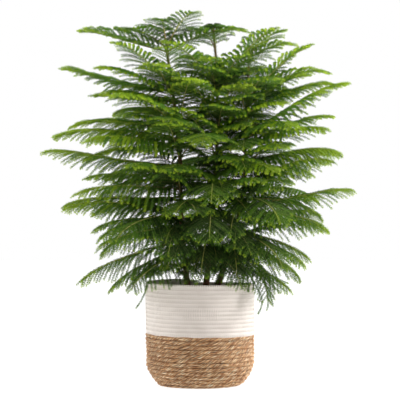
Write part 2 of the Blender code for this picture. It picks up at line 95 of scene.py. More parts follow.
def ripple(points: np.ndarray, size: float, seed: int, waves: int = 7) -> np.ndarray:
    """A soft random relief between about -1 and 1 at each point.

    Args:
        points: The places, one to a row.
        size: The length over which the relief changes, in metres.
        seed: The number that the waves are drawn from.
        waves: How many plane waves are added up.

    Returns:
        One height for each place.
    """
    chance = np.random.default_rng(seed)
    headings = unit(chance.normal(size=(waves, 3))) * chance.uniform(0.7, 1.5, (waves, 1))
    phases = chance.uniform(0.0, math.tau, waves)
    return np.sin(points @ headings.T * (math.tau / size) + phases).sum(axis=-1) / math.sqrt(waves)


def paint(red: int, green: int, blue: int) -> Colour:
    """The shader colour of a paint given as red, green and blue from 0 to 255."""
    parts = []
    for value in (red, green, blue):
        share = value / 255.0
        parts.append(share / 12.92 if share <= 0.04045 else ((share + 0.055) / 1.055) ** 2.4)
    return (parts[0], parts[1], parts[2], 1.0)


# ---- Meshes --------------------------------------------------------------------------------


class Shape:
    """Points and faces gathered from many small forms, and made into one mesh."""

    def __init__(self) -> None:
        """Starts with nothing in it."""
        self.points: list[np.ndarray] = []
        self.corners: list[np.ndarray] = []
        self.sizes: list[np.ndarray] = []
        self.maps: list[np.ndarray] = []
        self.values: list[np.ndarray] = []
        self.count = 0

    def add(
        self,
        points: np.ndarray,
        faces: np.ndarray,
        place: np.ndarray | None = None,
        value: np.ndarray | float = 0.0,
    ) -> None:
        """Adds one form.

        Args:
            points: Its points, one to a row.
            faces: Its faces, all with the same number of corners, as indices of those points.
            place: Two coordinates for each point, for finishes that follow the form.
            value: One number for each point, or for all, that a finish can read.
        """
        self.points.append(points.reshape(-1, 3))
        self.corners.append((faces + self.count).reshape(-1))
        self.sizes.append(np.full(len(faces), faces.shape[1]))
        flat = np.zeros((len(self.points[-1]), 2)) if place is None else place.reshape(-1, 2)
        self.maps.append(flat)
        self.values.append(np.broadcast_to(value, (len(flat),)))
        self.count += len(flat)

    def triangles(self) -> int:
        """How many triangles the faces make."""
        return int(sum((sizes - 2).sum() for sizes in self.sizes))

    def mesh(self, name: str, smooth: bool = True) -> bpy.types.Mesh:
        """The mesh of all the forms.

        Args:
            name: The mesh's name.
            smooth: Whether it is shaded smoothly.

        Returns:
            The mesh, with a map named Map and a point value named grade.
        """
        points = np.concatenate(self.points).astype(np.float32)
        corners = np.concatenate(self.corners).astype(np.int32)
        sizes = np.concatenate(self.sizes)
        mesh = bpy.data.meshes.new(name)
        mesh.vertices.add(len(points))
        mesh.vertices.foreach_set("co", points.ravel())
        mesh.loops.add(len(corners))
        mesh.loops.foreach_set("vertex_index", corners)
        mesh.polygons.add(len(sizes))
        starts = np.concatenate(([0], np.cumsum(sizes)[:-1])).astype(np.int32)
        mesh.polygons.foreach_set("loop_start", starts)
        mesh.update(calc_edges=True)
        places = np.concatenate(self.maps)[corners].astype(np.float32)
        layer = mesh.uv_layers.new(name="Map")
        layer.data.foreach_set("uv", places.ravel())
        grade = mesh.attributes.new("grade", "FLOAT", "POINT")
        grade.data.foreach_set("value", np.concatenate(self.values).astype(np.float32))
        if smooth:
            mesh.shade_smooth()
        return mesh


def grid_faces(rows: int, columns: int, closed: bool) -> np.ndarray:
    """The four-sided faces of a grid of points.

    Args:
        rows: How many rows of points it has.
        columns: How many points there are in a row.
        closed: Whether each row is a ring.

    Returns:
        The faces, four indices to a row.
    """
    across = columns if closed else columns - 1
    row = np.arange(rows - 1)[:, None] * columns
    here = np.arange(across)[None, :]
    after = (here + 1) % columns
    faces = np.stack([row + here, row + after, row + after + columns, row + here + columns], axis=-1)
    return faces.reshape(-1, 4)


def tube_frames(lines: np.ndarray, reference: np.ndarray = UP) -> tuple[np.ndarray, ...]:
    """The direction, side and top at each point of each line.

    Args:
        lines: Points along lines, as lines by points by three.
        reference: The direction that the tops lean to.

    Returns:
        The directions, sides and tops, each shaped like the lines.
    """
    ahead = unit(np.gradient(lines, axis=-2))
    side = unit(np.cross(ahead, reference))
    return ahead, side, np.cross(side, ahead)


def add_tubes(
    shape: Shape,
    lines: np.ndarray,
    radii: np.ndarray,
    sides: int,
    grades: np.ndarray | float = 0.0,
    reference: np.ndarray = UP,
) -> None:
    """Adds a round tube along each line, closed at its ends.

    Args:
        shape: What the tubes are added to.
        lines: Points along lines, as lines by points by three.
        radii: The radius at each point of each line.
        sides: How many sides a tube has.
        grades: The value that a finish reads, at each point of each line or for all.
        reference: The direction that the tops lean to.
    """
    count, rings = lines.shape[:2]
    _, side, top = tube_frames(lines, reference)
    turn = math.tau * np.arange(sides) / sides
    spokes = side[:, :, None] * np.cos(turn)[:, None] + top[:, :, None] * np.sin(turn)[:, None]
    points = lines[:, :, None] + spokes * radii[:, :, None, None]
    walls = grid_faces(rings, sides, True)
    offsets = np.arange(count) * rings * sides
    faces = (walls[None] + offsets[:, None, None]).reshape(-1, 4)
    run = np.concatenate(
        [np.zeros((count, 1)), np.cumsum(np.linalg.norm(np.diff(lines, axis=1), axis=-1), axis=1)], axis=1
    )
    place = np.stack(
        np.broadcast_arrays(run[:, :, None], (np.arange(sides) / sides)[None, None, :]), axis=-1
    )
    value = np.broadcast_to(np.broadcast_to(grades, (count, rings))[:, :, None], (count, rings, sides))
    first = shape.count
    shape.add(points.reshape(-1, 3), faces, place.reshape(-1, 2), value.reshape(-1))
    ring = np.arange(sides)
    first_caps = ring[::-1][None] + offsets[:, None]
    last_caps = ring[None] + offsets[:, None] + (rings - 1) * sides
    caps = np.concatenate([first_caps, last_caps])
    shape.corners.append((caps + first).reshape(-1))
    shape.sizes.append(np.full(len(caps), sides))


def turned(profile: np.ndarray, sides: int) -> tuple[np.ndarray, np.ndarray]:
    """The grid of points that a profile of (radius, height) sweeps about +Z, and its faces."""
    turn = math.tau * np.arange(sides) / sides
    points = np.stack(
        [
            profile[:, None, 0] * np.cos(turn),
            profile[:, None, 0] * np.sin(turn),
            np.repeat(profile[:, None, 1], sides, axis=1),
        ],
        axis=-1,
    )
    return points, grid_faces(len(profile), sides, True)


# ---- Shaders -------------------------------------------------------------------------------


class Channel:
    """A shader socket that takes part in arithmetic, each operation adding one Math node."""

    def __init__(self, shader: Nodes, socket: bpy.types.NodeSocket) -> None:
        """Keeps the socket and the shader that it is in."""
        self.shader = shader
        self.socket = socket

    def _math(self, operation: str, *values: Channel | float) -> Channel:
        """A Math node of this operation on the values."""
        return self.shader.node("ShaderNodeMath", {"operation": operation}, dict(enumerate(values)))

    def __add__(self, other: Channel | float) -> Channel:
        """The sum."""
        return self._math("ADD", self, other)

    def __radd__(self, other: float) -> Channel:
        """The sum, with a number first."""
        return self._math("ADD", other, self)

    def __sub__(self, other: Channel | float) -> Channel:
        """The difference."""
        return self._math("SUBTRACT", self, other)

    def __rsub__(self, other: float) -> Channel:
        """The difference, with a number first."""
        return self._math("SUBTRACT", other, self)

    def __mul__(self, other: Channel | float) -> Channel:
        """The product."""
        return self._math("MULTIPLY", self, other)

    def __rmul__(self, other: float) -> Channel:
        """The product, with a number first."""
        return self._math("MULTIPLY", other, self)

    def __pow__(self, other: Channel | float) -> Channel:
        """The power."""
        return self._math("POWER", self, other)

    def __abs__(self) -> Channel:
        """The size without its sign."""
        return self._math("ABSOLUTE", self)

    def sine(self) -> Channel:
        """The sine."""
        return self._math("SINE", self)

    def ramp(self, low: float, high: float) -> Channel:
        """A soft ramp from 0 at low to 1 at high."""
        return self.shader.node(
            "ShaderNodeMapRange",
            {"interpolation_type": "SMOOTHSTEP"},
            {"Value": self, "From Min": low, "From Max": high},
        )


Value = Union[Channel, float, Sequence[float]]


class Nodes:
    """A node tree, built by method calls."""

    def __init__(self, tree: bpy.types.NodeTree) -> None:
        """Keeps the tree."""
        self.tree = tree

    def node(
        self,
        kind: str,
        settings: Mapping[str, Any] | None = None,
        sockets: Mapping[str | int, Value] | None = None,
        output: str | int = 0,
    ) -> Channel:
        """Adds a node.

        Args:
            kind: The node's type.
            settings: Its settings, set before its sockets; "stops" are a ramp's places and colours.
            sockets: The value or link of each input, by name or number.
            output: The output that is wanted.

        Returns:
            That output.
        """
        made = self.tree.nodes.new(kind)
        for name, setting in (settings or {}).items():
            if name == "stops":
                self._set_stops(made.color_ramp, setting)
            else:
                setattr(made, name, setting)
        for name, value in (sockets or {}).items():
            self.feed(made.inputs[name], value)
        return Channel(self, made.outputs[output])

    @staticmethod
    def _set_stops(ramp: bpy.types.ColorRamp, stops: Sequence[tuple[float, Colour]]) -> None:
        """Gives a colour ramp its places and colours."""
        while len(ramp.elements) < len(stops):
            ramp.elements.new(1.0)
        for element, (place, colour) in zip(ramp.elements, stops):
            element.position = place
            element.color = colour

    def feed(self, socket: bpy.types.NodeSocket, value: Value) -> None:
        """Links a channel to a socket, or sets the socket to a plain value."""
        if isinstance(value, Channel):
            self.tree.links.new(value.socket, socket)
        else:
            socket.default_value = value

    def vector(self, x: Value, y: Value, z: Value) -> Channel:
        """A vector of three values."""
        return self.node("ShaderNodeCombineXYZ", None, {0: x, 1: y, 2: z})

    def mix(self, share: Value, first: Value, second: Value) -> Channel:
        """A colour between two, by a share from 0 to 1."""
        return self.node("ShaderNodeMix", {"data_type": "RGBA"}, {0: share, 6: first, 7: second}, 2)

    def noise(self, where: Channel, per_metre: float, detail: float = 3.0, rough: float = 0.55) -> Channel:
        """A cloudy value between 0 and 1 with so many features to a metre."""
        sockets = {"Vector": where, "Scale": per_metre, "Detail": detail, "Roughness": rough}
        return self.node("ShaderNodeTexNoise", None, sockets)


class Shader(Nodes):
    """The node tree of one material, with its surface shader."""

    def __init__(self, name: str) -> None:
        """Makes a material that has only its surface shader."""
        self.material = bpy.data.materials.new(name)
        self.material.use_nodes = True
        super().__init__(self.material.node_tree)
        self.surface = self.tree.nodes["Principled BSDF"]

    def set(self, **sockets: Value) -> None:
        """Feeds sockets of the surface shader, named with underlines for spaces."""
        for name, value in sockets.items():
            self.feed(self.surface.inputs[name.replace("_", " ")], value)

    def place(self) -> Channel:
        """The point on the object, in metres."""
        return self.node("ShaderNodeTexCoord", output="Object")

    def grade(self) -> Channel:
        """The value that the mesh carries at each point."""
        return self.node("ShaderNodeAttribute", {"attribute_name": "grade"}, output="Fac")

    def map_parts(self) -> tuple[Channel, Channel]:
        """The mesh's own two coordinates: metres along the form, and share round it."""
        made = self.tree.nodes.new("ShaderNodeUVMap")
        made.uv_map = "Map"
        split = self.tree.nodes.new("ShaderNodeSeparateXYZ")
        self.tree.links.new(made.outputs[0], split.inputs[0])
        return Channel(self, split.outputs[0]), Channel(self, split.outputs[1])

    def bump(self, height: Channel, depth: float, strength: float = 1.0) -> Channel:
        """A normal that a height field of this depth in metres gives."""
        sockets = {"Strength": strength, "Distance": depth, "Height": height}
        return self.node("ShaderNodeBump", None, sockets)


@dataclass(frozen=True)
class NeedleFinish:
    """A waxy needle green, cloudy from spray to spray and paler in streaks."""

    name: str
    dark: Colour
    light: Colour
    roughness: float = 0.5

    def build(self) -> bpy.types.Material:
        """The material."""
        shader = Shader(self.name)
        where = shader.place()
        cloud = shader.noise(where, 16.0, 2.0).ramp(0.32, 0.68)
        streak = shader.noise(where, 260.0, 1.0).ramp(0.3, 0.7)
        share = cloud * 0.55 + streak * 0.45
        shader.set(
            Base_Color=shader.mix(share, self.dark, self.light),
            Roughness=self.roughness + 0.14 * streak,
            IOR=1.4,
            Specular_IOR_Level=0.14,
        )
        return shader.material


@dataclass(frozen=True)
class BarkFinish:
    """Rough bark: plates and rings between a dark and a light brown, greener where its grade is high: where
    it is young, and on the twigs where their tone paints light.
    """

    name: str
    dark: Colour
    light: Colour
    young: Colour
    plates_per_metre: float = 170.0
    depth: float = 0.0008

    def build(self) -> bpy.types.Material:
        """The material."""
        shader = Shader(self.name)
        where = shader.place()
        plates = shader.noise(where, self.plates_per_metre, 4.0, 0.65)
        patches = shader.noise(where, 28.0, 2.0)
        shade = (plates * 0.7 + patches * 0.3).ramp(0.36, 0.64)
        old = shader.mix(shade, self.dark, self.light)
        # On the twigs the grade is their needle tone, so this young green also carries painted light and
        # shade.
        youth = (shader.grade() + (plates - 0.5) * 0.5).ramp(0.2, 0.8)
        shader.set(
            Base_Color=shader.mix(youth, old, self.young),
            Roughness=0.88 - 0.2 * shade,
            Normal=shader.bump(plates, self.depth, 0.9),
        )
        return shader.material


@dataclass(frozen=True)
class CottonFinish:
    """A braided cotton cord: fine yarns crossing along it, soft, with painted shade in the braid's hollows
    and dark ticks of painted shade at the stitches in its grooves.
    """

    name: str
    light: Colour
    shaded: Colour
    yarn: float = 0.0042
    yarns_round: int = 8
    tick: float = 0.0057

    def build(self) -> bpy.types.Material:
        """The material."""
        shader = Shader(self.name)
        along, around = shader.map_parts()
        run = along * (math.tau / self.yarn)
        turn = around * (math.tau * self.yarns_round)
        braid = (run + turn).sine() * (run - turn).sine()
        fibre = shader.noise(shader.vector(along * 900.0, around * 60.0, 0.0), 1.0, 3.0)
        cloud = shader.noise(shader.place(), 30.0, 3.0)
        groove = abs((around * math.tau).sine()).ramp(0.40, 0.68)
        tick = (along * (math.tau / self.tick) + cloud * 5.0).sine().ramp(-0.1, 0.8)
        # Painted shade: the braid's hollows and the stitch ticks in the grooves pull the colour towards the
        # shaded copy.
        relief = 0.5 + 0.36 * braid + 0.3 * (fibre - 0.5) - 0.8 * groove * tick
        share = (relief * 0.6 + cloud * 0.4).ramp(0.1, 0.62)
        shader.set(
            Base_Color=shader.mix(share, self.shaded, self.light),
            Roughness=0.93,
            Sheen_Weight=0.15,
            Sheen_Roughness=0.6,
            Normal=shader.bump(relief, 0.0007, 0.8),
        )
        return shader.material


@dataclass(frozen=True)
class SeagrassFinish:
    """Dried grass blades twisted into strands: long streaks, straw to brown, with painted shade in the
    hollows and creases.
    """

    name: str
    brown: Colour
    straw: Colour
    pale: Colour
    grey: Colour
    hollow_shade: Colour

    def build(self) -> bpy.types.Material:
        """The material."""
        shader = Shader(self.name)
        along, around = shader.map_parts()
        blades = shader.noise(shader.vector(along * 90.0, around * 6.0, 0.0), 1.0, 3.0, 0.6)
        fibres = shader.noise(shader.vector(along * 260.0, around * 40.0, 0.0), 1.0, 2.0, 0.6)
        lengths = shader.noise(shader.vector(along * 60.0, around * 1.5, 0.0), 1.0, 2.0)
        shade = (blades * 0.5 + lengths * 0.5).ramp(0.42, 0.54)
        light = (blades * 0.6 + lengths * 0.4).ramp(0.50, 0.60)
        crease = abs((around * math.tau).sine()).ramp(0.50, 0.98)
        green = shader.noise(shader.vector(along * 45.0, around * 2.0, 7.0), 1.0, 2.0).ramp(0.60, 0.70)
        base = shader.mix(light * 0.85, shader.mix(shade, self.brown, self.straw), self.pale)
        base = shader.mix(green * 0.6, base, self.grey)
        # Painted shade: darker on each strand's inner side, read from its depth, and in the creases at its
        # sides.
        unshaded_part = shader.grade().ramp(-0.9, 0.35) * (1.0 - 0.7 * crease)
        shader.set(
            Base_Color=shader.mix(unshaded_part, self.hollow_shade, base),
            Roughness=0.55 + 0.3 * fibres,
            Normal=shader.bump(blades * 0.6 + fibres * 0.4, 0.0016, 1.0),
        )
        return shader.material


@dataclass(frozen=True)
class SoilFinish:
    """Damp peat with paler crumbs of bark."""

    name: str
    damp: Colour
    dry: Colour

    def build(self) -> bpy.types.Material:
        """The material."""
        shader = Shader(self.name)
        where = shader.place()
        crumbs = shader.noise(where, 260.0, 5.0, 0.7)
        patches = shader.noise(where, 40.0, 2.0)
        shade = (crumbs * 0.6 + patches * 0.4).ramp(0.4, 0.66)
        shader.set(
            Base_Color=shader.mix(shade, self.damp, self.dry),
            Roughness=0.96 - 0.15 * patches,
            Normal=shader.bump(crumbs, 0.0016, 1.0),
        )
        return shader.material


Finish = Union[NeedleFinish, BarkFinish, CottonFinish, SeagrassFinish, SoilFinish]


@functools.cache
def material_of(finish: Finish) -> bpy.types.Material:
    """The finish's material, built once however many pieces take it."""
    return finish.build()


def show(
    name: str, mesh: bpy.types.Mesh, finish: Finish, stands_for: Sequence[str]
) -> bpy.types.Object:
    """Puts a finished piece in the scene.

    Args:
        name: The piece's name.
        mesh: Its mesh, in the plant's frame.
        finish: What it is dressed with.
        stands_for: The solids that it replaces.

    Returns:
        The piece.
    """
    mesh.materials.append(material_of(finish))
    piece = bpy.data.objects.new(name, mesh)
    bpy.context.scene.collection.objects.link(piece)
    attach(piece, "root")
    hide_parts(*stands_for)
    log.info("%s: %d points, %d faces", name, len(mesh.vertices), len(mesh.polygons))
    return piece


# ---- Stems ---------------------------------------------------------------------------------


@dataclass(frozen=True)
class Stem:
    """One stem: the line that it follows, and how it thins from its root flare to its tip."""

    name: str
    line: tuple[tuple[float, float, float], ...]
    foot_radius: float = 0.0075
    tip_radius: float = 0.0020
    taper_power: float = 1.5
    flare_radius: float = 0.0030
    flare_height: float = 0.022

    def centre(self, heights: np.ndarray) -> np.ndarray:
        """The middle of the stem at each height: a smooth curve through the points of its line."""
        line = np.array(self.line)
        levels = line[:, 2]
        before = line[np.maximum(np.arange(len(line)) - 1, 0)]
        after = line[np.minimum(np.arange(len(line)) + 1, len(line) - 1)]
        slopes = (after[:, :2] - before[:, :2]) / (after[:, 2:] - before[:, 2:])
        index = np.minimum(np.searchsorted(levels[1:], heights, side="left"), len(line) - 2)
        low, high = line[index, :2], line[index + 1, :2]
        span = (levels[index + 1] - levels[index])[:, None]
        t = np.clip((heights - levels[index])[:, None] / span, 0.0, 1.0)
        place = (
            (2 * t**3 - 3 * t**2 + 1) * low
            + (t**3 - 2 * t**2 + t) * span * slopes[index]
            + (3 * t**2 - 2 * t**3) * high
            + (t**3 - t**2) * span * slopes[index + 1]
        )
        return np.concatenate([place, heights[:, None]], axis=1)

    def radius(self, heights: np.ndarray) -> np.ndarray:
        """The radius at each height: a taper to the tip, with the root flare at the soil."""
        foot, tip = self.line[0][2], self.line[-1][2]
        left = np.maximum(1.0 - (heights - foot) / (tip - foot), 0.0)
        taper = self.tip_radius + (self.foot_radius - self.tip_radius) * left**self.taper_power
        return taper + self.flare_radius * np.exp(-(heights - foot) / self.flare_height)


STEMS = (
    Stem(
        "left",
        (
            (-0.030, -0.012, 0.236),
            (-0.046, -0.020, 0.400),
            (-0.052, -0.018, 0.620),
            (-0.078, -0.006, 0.800),
            (-0.088, 0.000, 0.880),
        ),
    ),
    Stem(
        "centre",
        (
            (0.014, 0.016, 0.236),
            (0.030, 0.020, 0.400),
            (0.044, 0.022, 0.640),
            (0.043, 0.022, 0.800),
            (0.034, 0.020, 0.907),
        ),
    ),
    Stem(
        "right",
        (
            (0.040, -0.008, 0.236),
            (0.092, 0.004, 0.400),
            (0.114, 0.018, 0.520),
            (0.117, 0.026, 0.660),
            (0.128, 0.030, 0.865),
        ),
    ),
)


# ---- Boughs --------------------------------------------------------------------------------


@dataclass(frozen=True)
class Bough:
    """One bough: where it leaves its stem, which way it goes and how its sprays stand.

    Angles are in degrees. Azimuth 0 is +X, 90 is the back and 270 is the front. Rise is the
    slope at the stem, droop is what the slope loses on the way out, lift is how far the twigs
    stand above the bough's own plane, and roll is how far that plane turns about the bough.
    Painted light is how bright its needles are painted, from -1 for painted shade to 1.
    """

    height: float
    azimuth: float
    rise: float
    length: float
    droop: float
    lift: float
    roll: float = 0.0
    painted_light: float = 0.0

    face_tip = 11.0
    tip_nod = 28.0
    tip_nod_power = 6
    path_steps = 40
    companion_highest = 0.80
    companion_lowest = 0.36
    companion_drop = 0.020
    companion_turn = 29.0
    companion_size = 0.80
    companion_roll = 10.0
    # Painted shade for the companion, which grows a little under its bough.
    companion_painted_light = -0.3
    brightest_height = 0.60
    shaded_below = 0.56
    side_light = 0.14
    low_shade = 1.3
    height_shade = 0.45

    def path(self, stem: Stem) -> np.ndarray:
        """The bough's middle line from the stem's axis to its tip."""
        share = (np.arange(self.path_steps) + 0.5) / self.path_steps
        slope = np.radians(self.rise - self.droop * share - self.tip_nod * share**self.tip_nod_power)
        azimuth = math.radians(self.azimuth)
        level = np.array((math.cos(azimuth), math.sin(azimuth), 0.0))
        steps = np.cos(slope)[:, None] * level + np.sin(slope)[:, None] * UP
        start = stem.centre(np.array([self.height]))
        return np.concatenate([start, start + np.cumsum(steps, axis=0) * self.length / self.path_steps])

    def rib_radius(self, share: np.ndarray) -> np.ndarray:
        """The rib's radius: thicker on a longer bough, and tapering to its end."""
        root = 0.0019 + 0.0016 * (self.length - 0.2)
        return root * (1.0 - 0.65 * share)

    def twig_length(self, share: np.ndarray) -> np.ndarray:
        """How long the twigs are along the bough: short at the stem, longest a quarter out."""
        longest = 0.30 * self.length + 0.035
        opening = np.minimum(1.0, 0.45 + 0.55 * share / 0.24)
        closing = (1.0 - np.maximum(0.0, (share - 0.24) / 0.76)) ** 0.75
        return longest * opening * (0.12 + 0.88 * closing)

    def turn(self) -> float:
        """How far the spray's plane turns: its own roll, and the tip of a side bough to the light."""
        return self.roll - self.face_tip * math.cos(math.radians(self.azimuth))

    def companion(self) -> Bough | None:
        """The shorter bough of the same mass, beside and a little under this one; none at top or rim."""
        if self.height > self.companion_highest or self.height < self.companion_lowest:
            return None
        hand = 1.0 if math.cos(math.radians(self.azimuth * 3.0)) > 0.0 else -1.0
        return replace(
            self,
            height=self.height - self.companion_drop,
            azimuth=self.azimuth + self.companion_turn * hand,
            rise=self.rise - 5.0,
            length=self.length * self.companion_size,
            droop=self.droop + 6.0,
            roll=self.companion_roll * hand,
            painted_light=self.companion_painted_light,
        )

    def light(self) -> float:
        """How much light reaches the bough: most at the sides and at mid height, least low in the middle."""
        sideways = abs(math.cos(math.radians(self.azimuth)))
        low = max(0.0, self.shaded_below - self.height)
        side = self.side_light * (sideways - 0.5) - self.low_shade * low * (1.0 - sideways)
        return side - self.height_shade * abs(self.height - self.brightest_height)


def point_on(path: np.ndarray, share: np.ndarray, roll: float = 0.0) -> tuple[np.ndarray, ...]:
    """The places at shares of a path's length.

    Args:
        path: The path's points.
        share: How far along each place is, from 0 to 1.
        roll: How far the side and top are turned about the path, in degrees.

    Returns:
        The places, and the path's direction, side and top there.
    """
    place = np.clip(share, 0.0, 1.0) * (len(path) - 1)
    index = np.minimum(place.astype(int), len(path) - 2)
    part = (place - index)[:, None]
    at = path[index] * (1.0 - part) + path[index + 1] * part
    ahead = unit(path[index + 1] - path[index])
    side = unit(np.cross(ahead, UP))
    top = np.cross(side, ahead)
    turn = math.radians(roll)
    rolled = side * math.cos(turn) + top * math.sin(turn)
    return at, ahead, rolled, np.cross(rolled, ahead)


GOLDEN_ANGLE = 137.5
INNER_COUNT = 16
INNER_FOOT = 0.300
INNER_BELOW_TIP = 0.170
INNER_LENGTH = 0.140
INNER_RISE = 40.0
INNER_DROOP = 30.0
INNER_LIFT = 4.0


BOUGHS: dict[str, tuple[Bough, ...]] = {
    "left": (
        Bough(0.848, 170, 14, 0.235, -6, 26),
        Bough(0.856, 130, 34, 0.190, 26, 20),
        Bough(0.866, 98, 50, 0.140, 26, 10),
        Bough(0.858, 56, 54, 0.160, 20, 10),
        Bough(0.847, 24, 32, 0.235, 26, 12),
        Bough(0.755, 224, 40, 0.218, 16, 8),
        Bough(0.747, 184, 1, 0.285, -28, 12),
        Bough(0.715, 207, 16, 0.200, 14, 5),
        Bough(0.644, 236, 36, 0.270, 30, 0),
        Bough(0.642, 122, 26, 0.300, 26, 5),
        Bough(0.640, 175, 16, 0.280, 18, 6),
        Bough(0.625, 194, 9, 0.322, 10, 0),
        Bough(0.557, 182, 2, 0.345, -16, -6),
        Bough(0.530, 130, 16, 0.300, 26, -4),
        Bough(0.497, 207, 6, 0.290, 10, -10),
        Bough(0.437, 193, 13, 0.300, 14, -12),
        Bough(0.428, 232, 6, 0.270, 30, -12),
        Bough(0.420, 140, 6, 0.290, 26, -10),
        Bough(0.370, 194, -14, 0.285, 8, -14),
        Bough(0.345, 226, -18, 0.210, 12, -20),
    ),
    "centre": (
        Bough(0.860, 112, 42, 0.150, 30, 15),
        Bough(0.765, 22, 46, 0.246, 30, 15),
        Bough(0.757, 230, 42, 0.225, 20, 8),
        Bough(0.755, 112, 42, 0.230, 26, 10),
        Bough(0.753, 320, 48, 0.235, 12, 13),
        Bough(0.644, 72, 30, 0.280, 28, 5),
        Bough(0.640, 246, 52, 0.255, 34, 6),
        Bough(0.635, 322, 36, 0.230, 26, 6),
        Bough(0.552, 262, 48, 0.285, 66, -2),
        Bough(0.540, 104, 22, 0.300, 28, -4),
        Bough(0.525, 304, 22, 0.260, 30, -6),
        Bough(0.492, 268, 20, 0.270, 46, -8),
        Bough(0.432, 92, 12, 0.300, 30, -10),
        Bough(0.430, 268, 10, 0.290, 36, -12),
        Bough(0.348, 254, -4, 0.190, 34, -22),
        Bough(0.338, 298, -6, 0.190, 34, -22),
    ),
    "right": (
        Bough(0.840, 40, 48, 0.137, 26, 15),
        Bough(0.739, 78, 36, 0.230, 24, 10),
        Bough(0.735, 14, 34, 0.232, 28, 12),
        Bough(0.727, 330, 45, 0.225, 12, 16),
        Bough(0.722, 284, 30, 0.200, 26, 4),
        Bough(0.630, 340, 35, 0.305, 10, 0),
        Bough(0.620, 296, 26, 0.250, 32, -2),
        Bough(0.570, 355, 13, 0.245, 10, -22),
        Bough(0.512, 328, 27, 0.262, 22, -14),
        Bough(0.490, 46, 12, 0.290, 26, -8),
        Bough(0.470, 290, 8, 0.270, 34, -10),
        Bough(0.455, 358, 7, 0.288, -10, -8),
        Bough(0.395, 350, -12, 0.205, 12, -14),
        Bough(0.385, 302, 0, 0.240, 34, -16),
        Bough(0.370, 40, 0, 0.260, 26, -14),
        Bough(0.345, 316, -12, 0.195, 58, -20),
        Bough(0.330, 338, -20, 0.190, 8, -24),
    ),
}


# In the fillers, the last value on the low boughs paints their needles darker: painted shade low in the
# crown.
FILLERS: dict[str, tuple[Bough, ...]] = {
    "left": (
        Bough(0.738, 212, 26, 0.225, 14, 4),
        Bough(0.735, 262, 58, 0.170, 24, 8),
        Bough(0.640, 282, 60, 0.190, 30, 4),
        Bough(0.545, 258, 54, 0.210, 34, 0),
        Bough(0.470, 266, 44, 0.200, 36, -4),
        Bough(0.445, 282, 20, 0.200, 40, -8),
        Bough(0.400, 258, 10, 0.190, 34, -12),
        Bough(0.350, 262, 14, 0.150, 40, -10, painted_light=-0.6),
        Bough(0.340, 90, 6, 0.220, 30, -10, painted_light=-1.0),
        Bough(0.300, 120, 10, 0.180, 30, -10, painted_light=-1.0),
        Bough(0.680, 250, 54, 0.210, 26, 4),
        Bough(0.600, 215, 14, 0.280, 16, -2),
        Bough(0.500, 238, 34, 0.230, 34, -6),
        Bough(0.470, 180, 4, 0.300, 6, -10),
        Bough(0.400, 214, 0, 0.250, 16, -14),
    ),
    "centre": (
        Bough(0.690, 262, 58, 0.210, 28, 4),
        Bough(0.630, 286, 58, 0.200, 30, 4),
        Bough(0.455, 246, 18, 0.250, 40, -10),
        Bough(0.350, 276, 14, 0.150, 40, -10, painted_light=-0.6),
        Bough(0.340, 80, 6, 0.220, 30, -10, painted_light=-1.0),
        Bough(0.300, 100, 10, 0.180, 30, -10, painted_light=-1.0),
        Bough(0.580, 240, 48, 0.250, 32, 0),
        Bough(0.500, 240, 32, 0.240, 34, -6),
        Bough(0.470, 300, 32, 0.230, 34, -6),
        Bough(0.385, 262, -4, 0.220, 40, -18),
        Bough(0.390, 235, -4, 0.220, 34, -18),
    ),
    "right": (
        Bough(0.690, 352, 30, 0.240, 16, 6),
        Bough(0.640, 264, 58, 0.190, 30, 2),
        Bough(0.500, 268, 42, 0.200, 34, -6),
        Bough(0.400, 268, 6, 0.190, 36, -14),
        Bough(0.340, 280, 12, 0.140, 40, -10, painted_light=-0.6),
        Bough(0.340, 90, 6, 0.220, 30, -10, painted_light=-1.0),
        Bough(0.300, 70, 10, 0.180, 30, -10, painted_light=-1.0),
        Bough(0.600, 320, 24, 0.260, 22, 0),
        Bough(0.560, 335, 20, 0.260, 20, -8),
        Bough(0.540, 292, 36, 0.230, 34, -4),
        Bough(0.430, 330, 8, 0.250, 24, -12),
        Bough(0.420, 10, 4, 0.240, 14, -12),
    ),
}


def inner_boughs(stem: Stem) -> list[Bough]:
    """The short, shaded boughs that fill a stem's inside, turning by the golden angle as they climb."""
    order = [each.name for each in STEMS].index(stem.name)
    top = stem.line[-1][2] - INNER_BELOW_TIP
    boughs = []
    for number in range(INNER_COUNT):
        share = number / (INNER_COUNT - 1)
        boughs.append(
            Bough(
                height=INNER_FOOT + (top - INNER_FOOT) * share,
                azimuth=GOLDEN_ANGLE * (number + order * INNER_COUNT) % 360.0,
                rise=INNER_RISE,
                length=INNER_LENGTH,
                droop=INNER_DROOP,
                lift=INNER_LIFT,
                # Painted shade: the inner boughs' needles are painted dark.
                painted_light=-1.0,
            )
        )
    return boughs


@dataclass(frozen=True)
class HangingShoot:
    """One old shoot that hangs from the lowest boughs, through these places."""

    places: tuple[tuple[float, float, float], ...]

    def line(self, steps: int) -> np.ndarray:
        """A soft line of evenly spaced points through the places."""
        places = np.array(self.places)
        run = np.concatenate([[0.0], np.cumsum(np.linalg.norm(np.diff(places, axis=0), axis=1))])
        share = np.linspace(0.0, run[-1], steps + 1)
        line = np.stack([np.interp(share, run, places[:, axis]) for axis in range(3)], axis=1)
        for _ in range(3):
            line[1:-1] = 0.25 * line[:-2] + 0.5 * line[1:-1] + 0.25 * line[2:]
        return line


